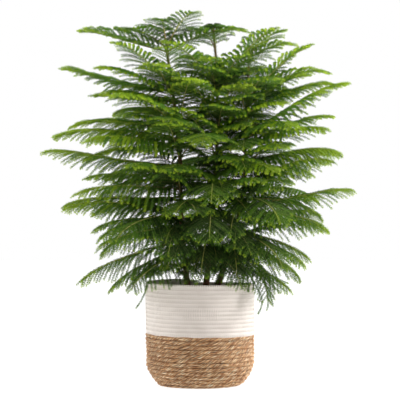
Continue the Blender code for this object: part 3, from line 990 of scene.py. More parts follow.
# Places beside the rim, in metres: two shoots on the left and six on the right.
HANGING_SHOOTS = (
    HangingShoot(
        (
            (-0.150, -0.085, 0.330),
            (-0.167, -0.095, 0.296),
            (-0.164, -0.100, 0.261),
            (-0.157, -0.100, 0.233),
        )
    ),
    HangingShoot(
        (
            (-0.112, -0.085, 0.300),
            (-0.137, -0.098, 0.246),
            (-0.137, -0.102, 0.231),
            (-0.160, -0.105, 0.200),
        )
    ),
    HangingShoot(
        (
            (0.115, -0.080, 0.300),
            (0.136, -0.095, 0.262),
            (0.158, -0.100, 0.222),
            (0.157, -0.102, 0.201),
            (0.144, -0.104, 0.186),
        )
    ),
    HangingShoot(
        (
            (0.140, -0.080, 0.300),
            (0.162, -0.095, 0.256),
            (0.175, -0.100, 0.226),
            (0.166, -0.100, 0.195),
        )
    ),
    HangingShoot(
        (
            (0.150, -0.080, 0.285),
            (0.172, -0.095, 0.246),
            (0.178, -0.098, 0.226),
            (0.182, -0.100, 0.205),
        )
    ),
    HangingShoot(
        (
            (0.130, -0.060, 0.310),
            (0.158, -0.085, 0.278),
            (0.182, -0.095, 0.254),
            (0.202, -0.100, 0.237),
        )
    ),
    HangingShoot(
        (
            (0.140, -0.060, 0.310),
            (0.168, -0.085, 0.276),
            (0.194, -0.095, 0.257),
            (0.218, -0.100, 0.240),
        )
    ),
    HangingShoot(
        (
            (0.150, -0.060, 0.305),
            (0.180, -0.085, 0.280),
            (0.202, -0.095, 0.269),
            (0.220, -0.100, 0.262),
        )
    ),
)


class Shade(Enum):
    """The greens that the needles are dealt out in by tone, from the painted shade of the inside to painted
    light on lit boughs and the paler young tips.
    """

    # Painted light and shade: the tone bands darken shaded needles and lighten lit ones.
    DEEP = NeedleFinish("needles_deep", paint(36, 60, 24), paint(58, 90, 38), 0.66)
    LEAF = NeedleFinish("needles_leaf", paint(68, 106, 28), paint(102, 146, 46), 0.64)
    LIT_AND_YOUNG = NeedleFinish("needles_lit_and_young", paint(120, 154, 22), paint(160, 188, 50), 0.62)
    LIME = NeedleFinish("needles_lime", paint(156, 190, 30), paint(194, 216, 76), 0.60)


SHADES = tuple(Shade)


@dataclass
class Twigs:
    """Many twigs: the line, length and tone of each, with tone rising from shade to young tip."""

    lines: list[np.ndarray] = field(default_factory=list)
    lengths: list[np.ndarray] = field(default_factory=list)
    tones: list[np.ndarray] = field(default_factory=list)

    def add(self, lines: np.ndarray, lengths: np.ndarray, tones: np.ndarray) -> None:
        """Adds twigs, all with the same number of points."""
        self.lines.append(lines)
        self.lengths.append(lengths)
        self.tones.append(tones)

    def gathered(self) -> tuple[np.ndarray, np.ndarray, np.ndarray]:
        """The lines, lengths and tones of all the twigs."""
        return np.concatenate(self.lines), np.concatenate(self.lengths), np.concatenate(self.tones)


@dataclass
class Needles:
    """The needles of one kind of shoot: how close, how long and how they stand off it."""

    spacing: float = 0.00092
    length: float = 0.0058
    half_width: float = 0.00110
    root_angle: float = 64.0
    tip_angle: float = 40.0
    length_jitter: float = 0.18
    tip_tone: float = 0.30
    tip_reach: float = 0.011

    def grow(
        self, lines: np.ndarray, lengths: np.ndarray, tones: np.ndarray, chance: np.random.Generator
    ) -> tuple[np.ndarray, np.ndarray]:
        """Grows needles in a spiral along twigs.

        Args:
            lines: The twigs' points, as twigs by points by three.
            lengths: The twigs' lengths.
            tones: The twigs' tones.
            chance: Where the random draws come from.

        Returns:
            The four points of each needle, and each needle's tone.
        """
        counts = np.maximum(6, (lengths / self.spacing).astype(int))
        twig = np.repeat(np.arange(len(lines)), counts)
        order = np.arange(len(twig)) - np.repeat(np.cumsum(counts) - counts, counts)
        share = (order + chance.uniform(0.0, 1.0, len(twig))) / counts[twig]
        place = share * (lines.shape[1] - 1)
        index = np.minimum(place.astype(int), lines.shape[1] - 2)
        part = (place - index)[:, None]
        at = lines[twig, index] * (1.0 - part) + lines[twig, index + 1] * part
        ahead = unit(lines[twig, index + 1] - lines[twig, index])
        side = unit(np.cross(ahead, UP))
        top = np.cross(side, ahead)
        turn = (order * GOLDEN_TURN + chance.uniform(0.0, math.tau, len(lines))[twig])[:, None]
        out = side * np.cos(turn) + top * np.sin(turn)
        left = lengths[twig] * (1.0 - share)
        taper = 0.6 + 0.4 * np.clip(left / 0.008, 0.0, 1.0) ** 0.7
        opening = 0.7 + 0.3 * np.clip(share * lengths[twig] / 0.008, 0.0, 1.0)
        size = self.length * taper * opening * (1.0 + self.length_jitter * chance.normal(size=len(twig)))
        size = np.clip(size, 0.003, self.length * 1.35)[:, None]
        lean = np.radians(self.root_angle + chance.normal(0.0, 7.0, (len(twig), 1)))
        bend = np.radians(self.tip_angle + chance.normal(0.0, 8.0, (len(twig), 1)))
        middle = at + (ahead * np.cos(lean) + out * np.sin(lean)) * size * 0.5
        tip = middle + (ahead * np.cos(bend) + out * np.sin(bend)) * size * 0.5
        across = np.cross(ahead, out) * self.half_width
        points = np.stack([at, middle + across, middle - across, tip], axis=1)
        tone = tones[twig] + self.tip_tone * smooth_step(-left, -self.tip_reach, -0.003)
        return points, tone + chance.normal(0.0, 0.035, len(twig))


@dataclass
class Crown:
    """All the boughs: ribs, twigs along them by the rule of the solids, and needles on both."""

    twig_spacing: float = 0.0122
    twig_steps: int = 10
    angle_at_root: float = 72.0
    angle_at_tip: float = 42.0
    sag: float = 4.6
    hook: float = 0.40
    sweep: float = 0.15
    first_twig: float = 0.055
    lift_jitter: float = 2.5
    slant_jitter: float = 1.6
    length_jitter: float = 0.08
    twig_root_radius: float = 0.00085
    twig_tip_radius: float = 0.00045
    rib_sides: int = 6
    rib_steps: int = 30
    tube_steps: int = 5
    side_needles: Needles = field(default_factory=Needles)
    rib_needles: Needles = field(
        default_factory=lambda: Needles(spacing=0.0016, length=0.0060, root_angle=46.0, half_width=0.0006)
    )
    hanging_needles: Needles = field(
        default_factory=lambda: Needles(spacing=0.0008, length=0.0062, root_angle=50.0, half_width=0.0012)
    )
    chance: np.random.Generator = field(default_factory=lambda: np.random.default_rng(STARTING_NUMBER))
    twigs: Twigs = field(default_factory=Twigs)
    rib_lines: Twigs = field(default_factory=Twigs)
    hanging: Twigs = field(default_factory=Twigs)
    needles: list[tuple[np.ndarray, np.ndarray]] = field(default_factory=list)

    def build(self) -> None:
        """Builds every bough and dresses it."""
        names = []
        ribs = Shape()
        for stem in STEMS:
            for number, bough in enumerate(BOUGHS[stem.name], start=1):
                names.append(f"bough_{stem.name}_{number:02d}")
                self._add_bough(ribs, stem, bough)
                companion = bough.companion()
                if companion:
                    self._add_bough(ribs, stem, companion)
            for bough in [*FILLERS[stem.name], *inner_boughs(stem)]:
                self._add_bough(ribs, stem, bough)
        finish = BarkFinish(
            "bough_bark", paint(106, 82, 44), paint(148, 128, 66), paint(164, 164, 82), 240.0, 0.0004
        )
        show("bough_ribs", ribs.mesh("bough_ribs"), finish, names)
        for shoot in HANGING_SHOOTS:
            line = shoot.line(self.twig_steps)
            run = float(np.linalg.norm(np.diff(line, axis=0), axis=1).sum())
            self.hanging.add(line[None], np.array([run]), np.array([0.40]))
        self._show_twigs(names)
        self._grow_needles()
        self._show_needles(names)

    def _add_bough(self, ribs: Shape, stem: Stem, bough: Bough) -> None:
        """Adds a bough's rib and twigs."""
        path = bough.path(stem)
        self._add_rib(ribs, bough, path)
        self._add_twigs(bough, path)

    def _tone(self, bough: Bough, share: np.ndarray) -> np.ndarray:
        """The tone of twigs at shares along a bough, painted light and shade in the needles' colour:
        brighter outwards, in more light and where painted lighter.
        """
        # Painted light: the bough's light and its painted light setting raise or lower the needles' green.
        shine = bough.light() + 0.22 * bough.painted_light
        return 0.40 + 0.28 * share + shine + self.chance.normal(0.0, 0.07, len(share))

    def _add_rib(self, ribs: Shape, bough: Bough, path: np.ndarray) -> None:
        """Adds a bough's rib, with a swollen collar at the stem and its knobbly young end."""
        share = np.linspace(0.0, 1.0, self.rib_steps) ** 1.4
        at, _, _, _ = point_on(path, share)
        radius = bough.rib_radius(share)
        collar = 0.0013 * np.exp(-((share * bough.length / 0.011) ** 2))
        knobs = 1.0 + 0.07 * ripple(at, 0.006, 11)
        radius = (radius + collar) * knobs * np.clip((1.0 - share) / 0.05, 0.25, 1.0)
        add_tubes(ribs, at[None], radius[None], self.rib_sides, smooth_step(share, 0.10, 0.55)[None])
        young = np.linspace(0.84, 1.0, self.twig_steps + 1)
        tip, _, _, _ = point_on(path, young)
        tone = self._tone(bough, np.array([0.95]))
        self.twigs.add(tip[None], np.array([bough.length * 0.16]), tone + 0.08)
        body = np.linspace(0.44, 0.84, self.twig_steps + 1)
        place, _, _, _ = point_on(path, body)
        self.rib_lines.add(place[None], np.array([bough.length * 0.40]), tone - 0.1)

    def _add_twigs(self, bough: Bough, path: np.ndarray) -> None:
        """Adds the twigs of both sides of a bough."""
        for hand in (1.0, -1.0):
            step = self.twig_spacing / bough.length
            share = np.arange(self.first_twig + (0.5 + 0.25 * hand) * step, 0.985, step)
            share = share + self.chance.normal(0.0, 0.10, len(share)) * step
            uneven = 1.0 + self.chance.normal(0.0, self.length_jitter, len(share))
            length = bough.twig_length(share) * uneven
            length = np.minimum(length, 0.6 * length + (1.02 - share) * bough.length)
            lift = np.radians(bough.lift + self.chance.normal(0.0, self.lift_jitter, len(share)))
            slant = np.radians(
                self.angle_at_root
                + (self.angle_at_tip - self.angle_at_root) * share
                + self.chance.normal(0.0, self.slant_jitter, len(share))
            )
            lines = self._twig_lines(bough, path, share, hand, lift, slant, length)
            self.twigs.add(lines, length, self._tone(bough, share))

    def _twig_lines(
        self,
        bough: Bough,
        path: np.ndarray,
        share: np.ndarray,
        hand: float,
        lift: np.ndarray,
        slant: np.ndarray,
        length: np.ndarray,
    ) -> np.ndarray:
        """The lines of twigs from the rib outwards.

        Args:
            bough: The bough.
            path: Its middle line.
            share: Where on it each twig starts.
            hand: +1 or -1 for the bough's two sides.
            lift: How far each twig stands above the bough's plane, in radians.
            slant: The angle between each twig and the bough, in radians.
            length: The twigs' lengths.

        Returns:
            The points of each twig's line.
        """
        at, ahead, side, top = point_on(path, share, bough.turn())
        sideways = side * hand * np.cos(lift)[:, None] + top * np.sin(lift)[:, None]
        out = ahead * np.cos(slant)[:, None] + sideways * np.sin(slant)[:, None]
        done = (np.arange(self.twig_steps) + 0.5) / self.twig_steps
        sag = self.sag * length[:, None] * done + self.hook * done**4
        heading = unit(
            out[:, None] - UP * sag[:, :, None] + ahead[:, None] * (self.sweep * done)[None, :, None]
        )
        steps = np.cumsum(heading * (length / self.twig_steps)[:, None, None], axis=1)
        return np.concatenate([at[:, None], at[:, None] + steps], axis=1)

    def _show_twigs(self, names: Sequence[str]) -> None:
        """Dresses the thin green shoots that the needles stand on."""
        lines, _, tones = self.twigs.gathered()
        hanging, _, hanging_tones = self.hanging.gathered()
        lines, tones = np.concatenate([lines, hanging]), np.concatenate([tones, hanging_tones])
        picked = np.linspace(0, lines.shape[1] - 1, self.tube_steps).round().astype(int)
        thin = np.linspace(self.twig_root_radius, self.twig_tip_radius, self.tube_steps)
        radii = np.broadcast_to(thin, (len(lines), self.tube_steps))
        shape = Shape()
        # The twigs' grade is their needle tone, so their skin is greener where the tone paints light and
        # browner where it paints shade.
        add_tubes(shape, lines[:, picked], radii, 3, np.clip(tones, 0.0, 1.0)[:, None])
        finish = BarkFinish(
            "twig_skin", paint(74, 88, 34), paint(104, 118, 48), paint(128, 152, 58), 300.0, 0.0002
        )
        show("twigs", shape.mesh("twigs"), finish, names)

    def _grow_needles(self) -> None:
        """Grows the needles of the twigs, the sparse ones of the ribs and those of the hanging shoots."""
        self.needles.append(self.side_needles.grow(*self.twigs.gathered(), self.chance))
        self.needles.append(self.rib_needles.grow(*self.rib_lines.gathered(), self.chance))
        self.needles.append(self.hanging_needles.grow(*self.hanging.gathered(), self.chance))

    def _show_needles(self, names: Sequence[str]) -> None:
        """Deals the needles out into pieces by their tone, each under the most triangles."""
        points = np.concatenate([points for points, _ in self.needles])
        tones = np.concatenate([tones for _, tones in self.needles])
        bands = np.digitize(tones, (0.36, 0.60, 0.86))
        for band, shade in enumerate(SHADES):
            chosen = points[bands == band]
            parts = max(1, math.ceil(len(chosen) * 2 / MOST_TRIANGLES))
            for number, part in enumerate(np.array_split(chosen, parts), start=1):
                if not len(part):
                    continue
                corners = np.array([[0, 1, 2], [2, 1, 3]])
                faces = (corners[None] + np.arange(len(part))[:, None, None] * 4).reshape(-1, 3)
                shape = Shape()
                shape.add(part, faces)
                name = f"{shade.value.name}_{number}"
                show(name, shape.mesh(name, False), shade.value, names)


@dataclass
class Trunks:
    """The three stems: ringed bark with a collar under each bough, and the stubs of old needles."""

    ring_spacing: float = 0.0021
    sides: int = 14
    collar: float = 0.0013
    stub_spacing: float = 0.0014
    stub_length: float = 0.0056
    chance: np.random.Generator = field(default_factory=lambda: np.random.default_rng(STARTING_NUMBER + 1))

    def build(self) -> None:
        """Builds the bark and the stubs of each stem."""
        finish = BarkFinish("bark", paint(84, 50, 36), paint(156, 108, 80), paint(140, 112, 72))
        for stem in STEMS:
            name = f"stem_{stem.name}"
            show(f"{name}_bark", self._bark(stem).mesh(f"{name}_bark"), finish, [name])
        stubs = Shape()
        for stem in STEMS:
            self._add_stubs(stubs, stem)
        stub_finish = BarkFinish(
            "stubs", paint(96, 60, 40), paint(158, 118, 80), paint(112, 122, 56), 300.0, 0.0002
        )
        show("needle_stubs", stubs.mesh("needle_stubs", False), stub_finish, ["stem_left"])

    def _bark(self, stem: Stem) -> Shape:
        """One stem's bark."""
        foot, tip = stem.line[0][2] - 0.004, stem.line[-1][2]
        heights = np.linspace(foot, tip, int((tip - foot) / self.ring_spacing))
        centres, radii = stem.centre(heights), stem.radius(heights)
        turn = math.tau * np.arange(self.sides) / self.sides
        spokes = np.stack([np.cos(turn), np.sin(turn), np.zeros(self.sides)], axis=1)
        surface = centres[:, None] + spokes[None] * radii[:, None, None]
        flat = surface.reshape(-1, 3)
        relief = 0.00035 * ripple(flat, 0.009, 3) + 0.00022 * ripple(flat, 0.0045, 4)
        rings = 0.00028 * np.sin(heights * math.tau / 0.0075 + 1.3 * np.sin(heights * 170.0))
        bulge = relief.reshape(len(heights), self.sides) + rings[:, None]
        for bough in BOUGHS[stem.name]:
            level = np.exp(-(((heights - bough.height) / 0.007) ** 2))
            facing = (0.5 + 0.5 * np.cos(turn - math.radians(bough.azimuth))) ** 2
            bulge = bulge + self.collar * level[:, None] * (0.35 + 0.65 * facing[None])
        fade = np.clip((tip - heights) / 0.02, 0.25, 1.0)[:, None]
        points = surface + spokes[None] * (bulge * fade)[:, :, None]
        youth = smooth_step(heights, tip - 0.10, tip)
        shape = Shape()
        place = np.stack(
            np.broadcast_arrays(heights[:, None], (np.arange(self.sides) / self.sides)[None]), axis=-1
        )
        value = np.repeat(youth, self.sides)
        faces = grid_faces(len(heights), self.sides, True)
        shape.add(points.reshape(-1, 3), faces, place.reshape(-1, 2), value)
        last = (len(heights) - 1) * self.sides
        shape.corners.append(np.arange(last, last + self.sides))
        shape.sizes.append(np.array([self.sides]))
        return shape

    def _add_stubs(self, shape: Shape, stem: Stem) -> None:
        """Adds the old needle bases in a spiral up a stem, closer and greener near its tip."""
        foot, tip = stem.line[0][2] + 0.01, stem.line[-1][2]
        count = int((tip - foot) / self.stub_spacing * 2.2)
        share = np.linspace(0.0, 1.0, count) ** 0.62
        heights = foot + (tip - foot) * share
        centres, radii = stem.centre(heights), stem.radius(heights)
        turn = np.arange(count) * GOLDEN_TURN
        out = np.stack([np.cos(turn), np.sin(turn), np.zeros(count)], axis=1)
        across = np.stack([-np.sin(turn), np.cos(turn), np.zeros(count)], axis=1)
        size = self.stub_length * (0.7 + 0.7 * share**2) * self.chance.uniform(0.6, 1.3, count)
        root = centres + out * (radii * 0.9)[:, None]
        lean = np.radians(self.chance.normal(42.0, 10.0, count))
        tips = root + (out * np.cos(lean)[:, None] + UP * np.sin(lean)[:, None]) * size[:, None]
        half = across * 0.0010
        points = np.stack([root - half, root + half, root - UP * 0.0009, tips], axis=1)
        corners = np.array([[0, 3, 1], [1, 3, 2], [2, 3, 0]])
        faces = (corners[None] + np.arange(count)[:, None, None] * 4).reshape(-1, 3)
        youth = smooth_step(heights, tip - 0.12, tip - 0.01)
        shape.add(points.reshape(-1, 3), faces, None, np.repeat(youth, 4))


@dataclass
class Leader:
    """The young whorl on top of the middle stem, and the soft tips of the other two stems."""

    height: float = 0.012
    sprays: int = 5
    spray_length: float = 0.023
    spray_rise: float = 12.0
    splay: float = 0.3
    turn: float = 0.3
    steps: int = 10
    chance: np.random.Generator = field(default_factory=lambda: np.random.default_rng(STARTING_NUMBER + 2))

    def build(self) -> None:
        """Builds the shoots of the whorl and their needles."""
        foot = np.array(STEMS[1].line[-1])
        lines = []
        for index in range(self.sprays):
            for splay in (-self.splay, 0.0, self.splay):
                root = foot + UP * self.height * (0.3 + 0.1 * index)
                lines.append(self._shoot(root, math.tau * index / self.sprays + self.turn + splay))
        lines.append(np.linspace(foot, foot + UP * self.height, self.steps + 1))
        shoots = np.array(lines)
        lengths = np.linalg.norm(shoots[:, -1] - shoots[:, 0], axis=1)
        core = Shape()
        thin = np.broadcast_to(np.linspace(0.0011, 0.0004, 11), (len(lines), 11))
        add_tubes(core, shoots, thin, 5, 1.0, UP + 0.01)
        skin = BarkFinish(
            "leader_skin", paint(92, 84, 40), paint(120, 128, 54), paint(126, 142, 58), 300.0, 0.0002
        )
        show("leader_shoots", core.mesh("leader_shoots"), skin, ["leader_whorl"])
        grown = Needles(spacing=0.0005, length=0.0058, half_width=0.0010)
        points, _ = grown.grow(shoots, lengths, np.zeros(len(shoots)), self.chance)
        for stem in STEMS:
            heights = np.linspace(stem.line[-1][2] - 0.045, stem.line[-1][2] + 0.002, self.steps + 1)
            line = stem.centre(heights)[None]
            sparse = Needles(spacing=0.0009, length=0.0068, half_width=0.00055, root_angle=50.0)
            more, _ = sparse.grow(line, np.array([0.047]), np.zeros(1), self.chance)
            points = np.concatenate([points, more])
        shape = Shape()
        corners = np.array([[0, 1, 2], [2, 1, 3]])
        faces = (corners[None] + np.arange(len(points))[:, None, None] * 4).reshape(-1, 3)
        shape.add(points, faces)
        finish = NeedleFinish("leader_needles", paint(44, 74, 22), paint(84, 122, 38))
        show("leader_needles", shape.mesh("leader_needles", False), finish, ["leader_whorl"])

    def _shoot(self, root: np.ndarray, azimuth: float) -> np.ndarray:
        """One shoot of the whorl, rising a little and curling down at its end."""
        level = np.array((math.cos(azimuth), math.sin(azimuth), 0.0))
        rise = math.radians(self.spray_rise)
        share = np.linspace(0.0, 1.0, self.steps + 1)[:, None]
        reach = (level * math.cos(rise) + UP * math.sin(rise)) * self.spray_length
        return root + reach * share - UP * 0.002 * share**3


# ---- Basket --------------------------------------------------------------------------------


@dataclass(frozen=True)
class BasketForm:
    """The sizes of the basket that its bands share."""

    height: float = 0.257
    seam: float = 0.131
    body_radius: float = 0.138
    rim_radius: float = 0.1395
    foot_radius: float = 0.106
    foot_height: float = 0.058
    foot_power: float = 1.75
    wall: float = 0.009
    soil_level: float = 0.236
    splice_azimuth: float = 90.0

    def radius(self, heights: np.ndarray) -> np.ndarray:
        """The outside radius at each height."""
        share = np.clip(heights / self.foot_height, 0.0, 1.0)
        foot = self.body_radius - (self.body_radius - self.foot_radius) * (1.0 - share) ** self.foot_power
        lean = np.clip((heights - self.seam) / (self.height - self.seam), 0.0, 1.0)
        return foot + (self.rim_radius - self.body_radius) * lean

    def outline(self, sunk: float) -> np.ndarray:
        """The wall's line of (radius, height) from the middle of the underside to the rim.

        Args:
            sunk: How far inside the outer surface the line runs.

        Returns:
            Points close together along the line.
        """
        top = self.height + 0.012
        heights = np.concatenate([np.linspace(0.0, 0.02, 30)[:-1], np.linspace(0.02, top, 300)])
        wall = np.stack([self.radius(heights), heights], axis=1)
        floor = np.stack([np.linspace(0.0, self.foot_radius, 120)[:-1], np.zeros(119)], axis=1)
        line = np.concatenate([floor, wall])
        slope = unit(np.gradient(line, axis=0))
        inward = np.stack([-slope[:, 1], slope[:, 0]], axis=1)
        window = np.ones(25) / 25
        padded = [np.pad(inward[:, axis], 12, "edge") for axis in (0, 1)]
        soft = np.stack([np.convolve(each, window, "valid") for each in padded], 1)
        return line + unit(soft) * sunk


@dataclass
class Rope:
    """A rope wound in one long spiral up the wall, each turn lying on the one below."""

    form: BasketForm
    sunk: float
    pitch: float
    step: float = 0.0032

    def wind(
        self, start: float, stop: float, slack: float, seed: int, ends_at_splice: bool = False
    ) -> tuple[np.ndarray, np.ndarray, np.ndarray]:
        """Winds the rope along the wall's line.

        Args:
            start: The distance along the wall's line where its first turn lies.
            stop: The distance where its last turn ends.
            slack: How far the hand-wound rope wanders from its place.
            seed: The number that the wandering is drawn from.
            ends_at_splice: Whether its end is at the splice, and not its start.

        Returns:
            The rope's points, the wall's outward direction at each, and the distance along the wall.
        """
        line = self.form.outline(self.sunk)
        run = np.concatenate([[0.0], np.cumsum(np.linalg.norm(np.diff(line, axis=0), axis=1))])
        turns = (stop - start) / self.pitch
        coarse = np.linspace(0.0, turns, int(turns * 720))
        radius = np.interp(start + coarse * self.pitch, run, line[:, 0])
        pieces = math.tau * 0.5 * (radius[1:] + radius[:-1]) * np.diff(coarse)
        length = np.concatenate([[0.0], np.cumsum(pieces)])
        turn = np.interp(np.arange(0.0, length[-1], self.step), length, coarse)
        along = start + turn * self.pitch
        radius, height = np.interp(along, run, line[:, 0]), np.interp(along, run, line[:, 1])
        slope = unit(np.stack([np.gradient(radius, along), np.gradient(height, along)], axis=1))
        first = turns if ends_at_splice else 0.0
        azimuth = math.radians(self.form.splice_azimuth) - (turn - first) * math.tau
        level = np.stack([np.cos(azimuth), np.sin(azimuth), np.zeros(len(turn))], axis=1)
        out = unit(level * slope[:, 1:] - UP * slope[:, :1])
        points = level * radius[:, None] + UP * height[:, None]
        return points + out * (slack * ripple(points, 0.07, seed))[:, None], out, along


@dataclass
class CottonBand:
    """The upper band: cotton cord in coils, sewn together with a zigzag of thread."""

    form: BasketForm
    pitch: float = 0.0109
    half_depth: float = 0.0026
    half_height: float = 0.0078
    sides: int = 14
    stitch_spacing: float = 0.0062
    thread_radius: float = 0.00045

    def build(self) -> None:
        """Builds the coils and the stitches."""
        line = self.form.outline(self.half_depth)
        run = np.concatenate([[0.0], np.cumsum(np.linalg.norm(np.diff(line, axis=0), axis=1))])
        start = float(np.interp(self.form.seam, line[120:, 1], run[120:]))
        stop = float(np.interp(self.form.height, line[120:, 1], run[120:]))
        turns = round((stop - start) / self.pitch)
        rope = Rope(self.form, self.half_depth, (stop - start) / turns)
        points, out, _ = rope.wind(start, stop, 0.0003, 21)
        finish = CottonFinish("cotton_rope", paint(250, 241, 234), paint(200, 188, 178))
        coils = Shape()
        ahead = unit(np.gradient(points, axis=0))
        rise = np.cross(ahead, out)
        rise = rise * np.sign(rise[:, 2:])
        self._add_section(coils, points, out, rise, rope.step)
        name = "basket_cotton_coils"
        show(name, coils.mesh(name), finish, ["basket_cotton"])
        stitches = Shape()
        self._add_stitches(stitches, points, out, rise, rope.step)
        thread = CottonFinish("cotton_thread", paint(226, 214, 204), paint(186, 174, 160), 0.0012, 3)
        show("basket_stitches", stitches.mesh("basket_stitches"), thread, ["basket_cotton"])

    def _add_section(
        self, shape: Shape, points: np.ndarray, out: np.ndarray, rise: np.ndarray, step: float
    ) -> None:
        """Adds the cord's flattened round section along its line, thinning at both of its ends."""
        turn = math.tau * np.arange(self.sides) / self.sides
        run = np.arange(len(points)) * step
        ends = np.clip(np.minimum(run, run[-1] - run) / 0.06, 0.12, 1.0) ** 0.6
        swell = 1.0 + 0.02 * np.sin(run[:, None] * math.tau / 0.0105 + turn[None] * 3.0)
        across = np.cos(turn)[None] * self.half_depth * swell * ends[:, None]
        up = np.sin(turn)[None] * self.half_height * swell * ends[:, None]
        ring = points[:, None] + out[:, None] * across[:, :, None] + rise[:, None] * up[:, :, None]
        place = np.stack(np.broadcast_arrays(run[:, None], (turn / math.tau)[None]), axis=-1)
        shape.add(ring.reshape(-1, 3), grid_faces(len(points), self.sides, True), place.reshape(-1, 2))

    def _add_stitches(
        self, shape: Shape, points: np.ndarray, out: np.ndarray, rise: np.ndarray, step: float
    ) -> None:
        """Adds the slanting threads across the groove over each turn of the cord."""
        every = max(1, round(self.stitch_spacing / step))
        picked = np.arange(20, len(points) - 300, every)
        ahead = unit(np.gradient(points, axis=0))[picked]
        seam = points[picked] + rise[picked] * self.pitch * 0.5
        lean = np.where(np.arange(len(picked)) % 2 == 0, 1.0, -1.0)[:, None]
        span = np.linspace(-1.0, 1.0, 5)
        lines = (
            seam[:, None]
            + rise[picked][:, None] * (span * 0.0034)[None, :, None]
            + (ahead * lean * 0.0011)[:, None] * span[None, :, None]
            + out[picked][:, None] * (0.0019 + 0.0005 * span**2)[None, :, None]
        )
        radii = np.broadcast_to(self.thread_radius * (1.0 - 0.35 * span**2), (len(picked), 5))
        add_tubes(shape, lines, radii, 4, 0.0, np.array((0.31, 0.17, 0.05)))


@dataclass
class SeagrassCup:
    """The lower cup: seagrass twisted into a six-strand rope and coiled from the middle outwards."""

    form: BasketForm
    pitch: float = 0.0109
    strand_count: int = 6
    twist: float = 0.0553
    offset: float = 0.0037
    half_width: float = 0.0023
    half_depth: float = 0.0020
    spread: float = 1.0
    sides: int = 7
    step: float = 0.0042
    fibre_count: int = 90

    def build(self) -> None:
        """Builds the strands, the dark cup of painted shade behind them and the loose fibres."""
        rope = Rope(self.form, 0.0053, self.pitch, self.step)
        line = self.form.outline(0.0053)
        run = np.concatenate([[0.0], np.cumsum(np.linalg.norm(np.diff(line, axis=0), axis=1))])
        stop = float(np.interp(self.form.seam, line[120:, 1], run[120:]))
        points, out, _ = rope.wind(self.pitch * 0.6, stop, 0.0008, 31, True)
        finish = SeagrassFinish(
            "seagrass",
            paint(160, 102, 56),
            paint(246, 192, 134),
            paint(255, 243, 212),
            paint(204, 194, 168),
            # The hollow colour: painted shade.
            paint(72, 38, 18),
        )
        for number in range(self.strand_count):
            strand = Shape()
            self._add_strand(strand, points, out, number)
            name = f"basket_seagrass_strand_{number + 1}"
            show(name, strand.mesh(name), finish, ["basket_seagrass"])
        self._build_gap_shade()
        self._build_fibres(points, out, finish)

    def _add_strand(self, shape: Shape, points: np.ndarray, out: np.ndarray, number: int) -> None:
        """Adds one of the strands, winding round the rope's middle."""
        run = np.arange(len(points)) * self.step
        ahead = unit(np.gradient(points, axis=0))
        rise = np.cross(ahead, out)
        wander = 0.6 * ripple(points, 0.05, 37) + 0.2 * ripple(points, 0.03, 38 + number)
        phase = -run * math.tau / self.twist + math.tau * number / self.strand_count + wander
        radial = out * np.cos(phase)[:, None] + rise * np.sin(phase)[:, None]
        cross = np.cross(ahead, radial)
        middle = points + radial * self.offset
        ends = np.clip(np.minimum(run, run[-1] - run) / 0.04, 0.2, 1.0)
        plump = 1.0 + 0.14 * ripple(points, 0.05, 35 + number) + 0.06 * np.sin(run * 97.0)
        turn = math.tau * np.arange(self.sides) / self.sides
        blades = 1.0 + 0.08 * np.sin(2.0 * turn[None] + run[:, None] * 60.0)
        size = blades * (plump * ends)[:, None]
        ring = (
            middle[:, None]
            + radial[:, None] * (np.cos(turn)[None] * self.half_depth * size)[:, :, None]
            + cross[:, None] * (np.sin(turn)[None] * self.half_width * size)[:, :, None]
        )
        aside = ((ring - points[:, None]) * rise[:, None]).sum(axis=-1, keepdims=True)
        ring = ring + rise[:, None] * aside * (self.spread - 1.0)
        ring[:, :, 2] = np.maximum(ring[:, :, 2], 0.0)
        place = np.stack(np.broadcast_arrays(run[:, None] + 17.0 * number, (turn / math.tau)[None]), axis=-1)
        faces = grid_faces(len(points), self.sides, True)
        # Each point's depth across the rope goes to the finish, which paints shade on the strands' inner
        # sides.
        depth = ((ring - points[:, None]) * out[:, None]).sum(axis=-1) / (self.offset + self.half_depth)
        shape.add(ring.reshape(-1, 3), faces, place.reshape(-1, 2), depth.reshape(-1))

    def _build_gap_shade(self) -> None:
        """Builds the thin dark cup behind the strands: painted shade that shows in the gaps between them."""
        outer, inner = self.form.outline(0.0050), self.form.outline(0.0085)
        keep = outer[:, 1] < self.form.seam + 0.004
        profile = np.concatenate([outer[keep][1::6], inner[keep][1::6][::-1]])
        points, faces = turned(profile, 96)
        flat = points.reshape(-1, 3)
        lumps = flat + unit(flat * (1.0, 1.0, 0.0)) * (0.0004 * ripple(flat, 0.012, 41))[:, None]
        shape = Shape()
        shape.add(lumps, faces)
        # Painted shade: a dark brown for the gaps between the strands.
        finish = SoilFinish("gap_shade", paint(70, 46, 28), paint(122, 86, 54))
        show("basket_gap_shade", shape.mesh("basket_gap_shade"), finish, ["basket_seagrass"])

    def _build_fibres(self, points: np.ndarray, out: np.ndarray, finish: Finish) -> None:
        """Builds the loose blades that stand off the weave here and there."""
        chance = np.random.default_rng(STARTING_NUMBER + 5)
        wall = np.flatnonzero(points[:, 2] > 0.020)
        picked = chance.choice(wall, self.fibre_count, replace=False)
        ahead = unit(np.gradient(points, axis=0))[picked] * chance.choice((-1.0, 1.0), (len(picked), 1))
        length = chance.uniform(0.006, 0.016, len(picked))[:, None, None]
        stand = chance.uniform(0.12, 0.5, len(picked))[:, None, None]
        dip = chance.normal(0.0, 0.3, len(picked))[:, None, None]
        share = np.linspace(0.0, 1.0, 6)[None, :, None]
        root = points[picked] + out[picked] * 0.0042
        way = ahead[:, None] + out[picked][:, None] * stand * share + UP * dip * share
        lines = root[:, None] + length * share * way
        radii = np.broadcast_to(np.linspace(0.0006, 0.0002, 6), (len(picked), 6))
        shape = Shape()
        add_tubes(shape, lines, radii, 4, 0.5, np.array((0.11, 0.23, 0.97)))
        show("basket_fibres", shape.mesh("basket_fibres"), finish, ["basket_seagrass"])


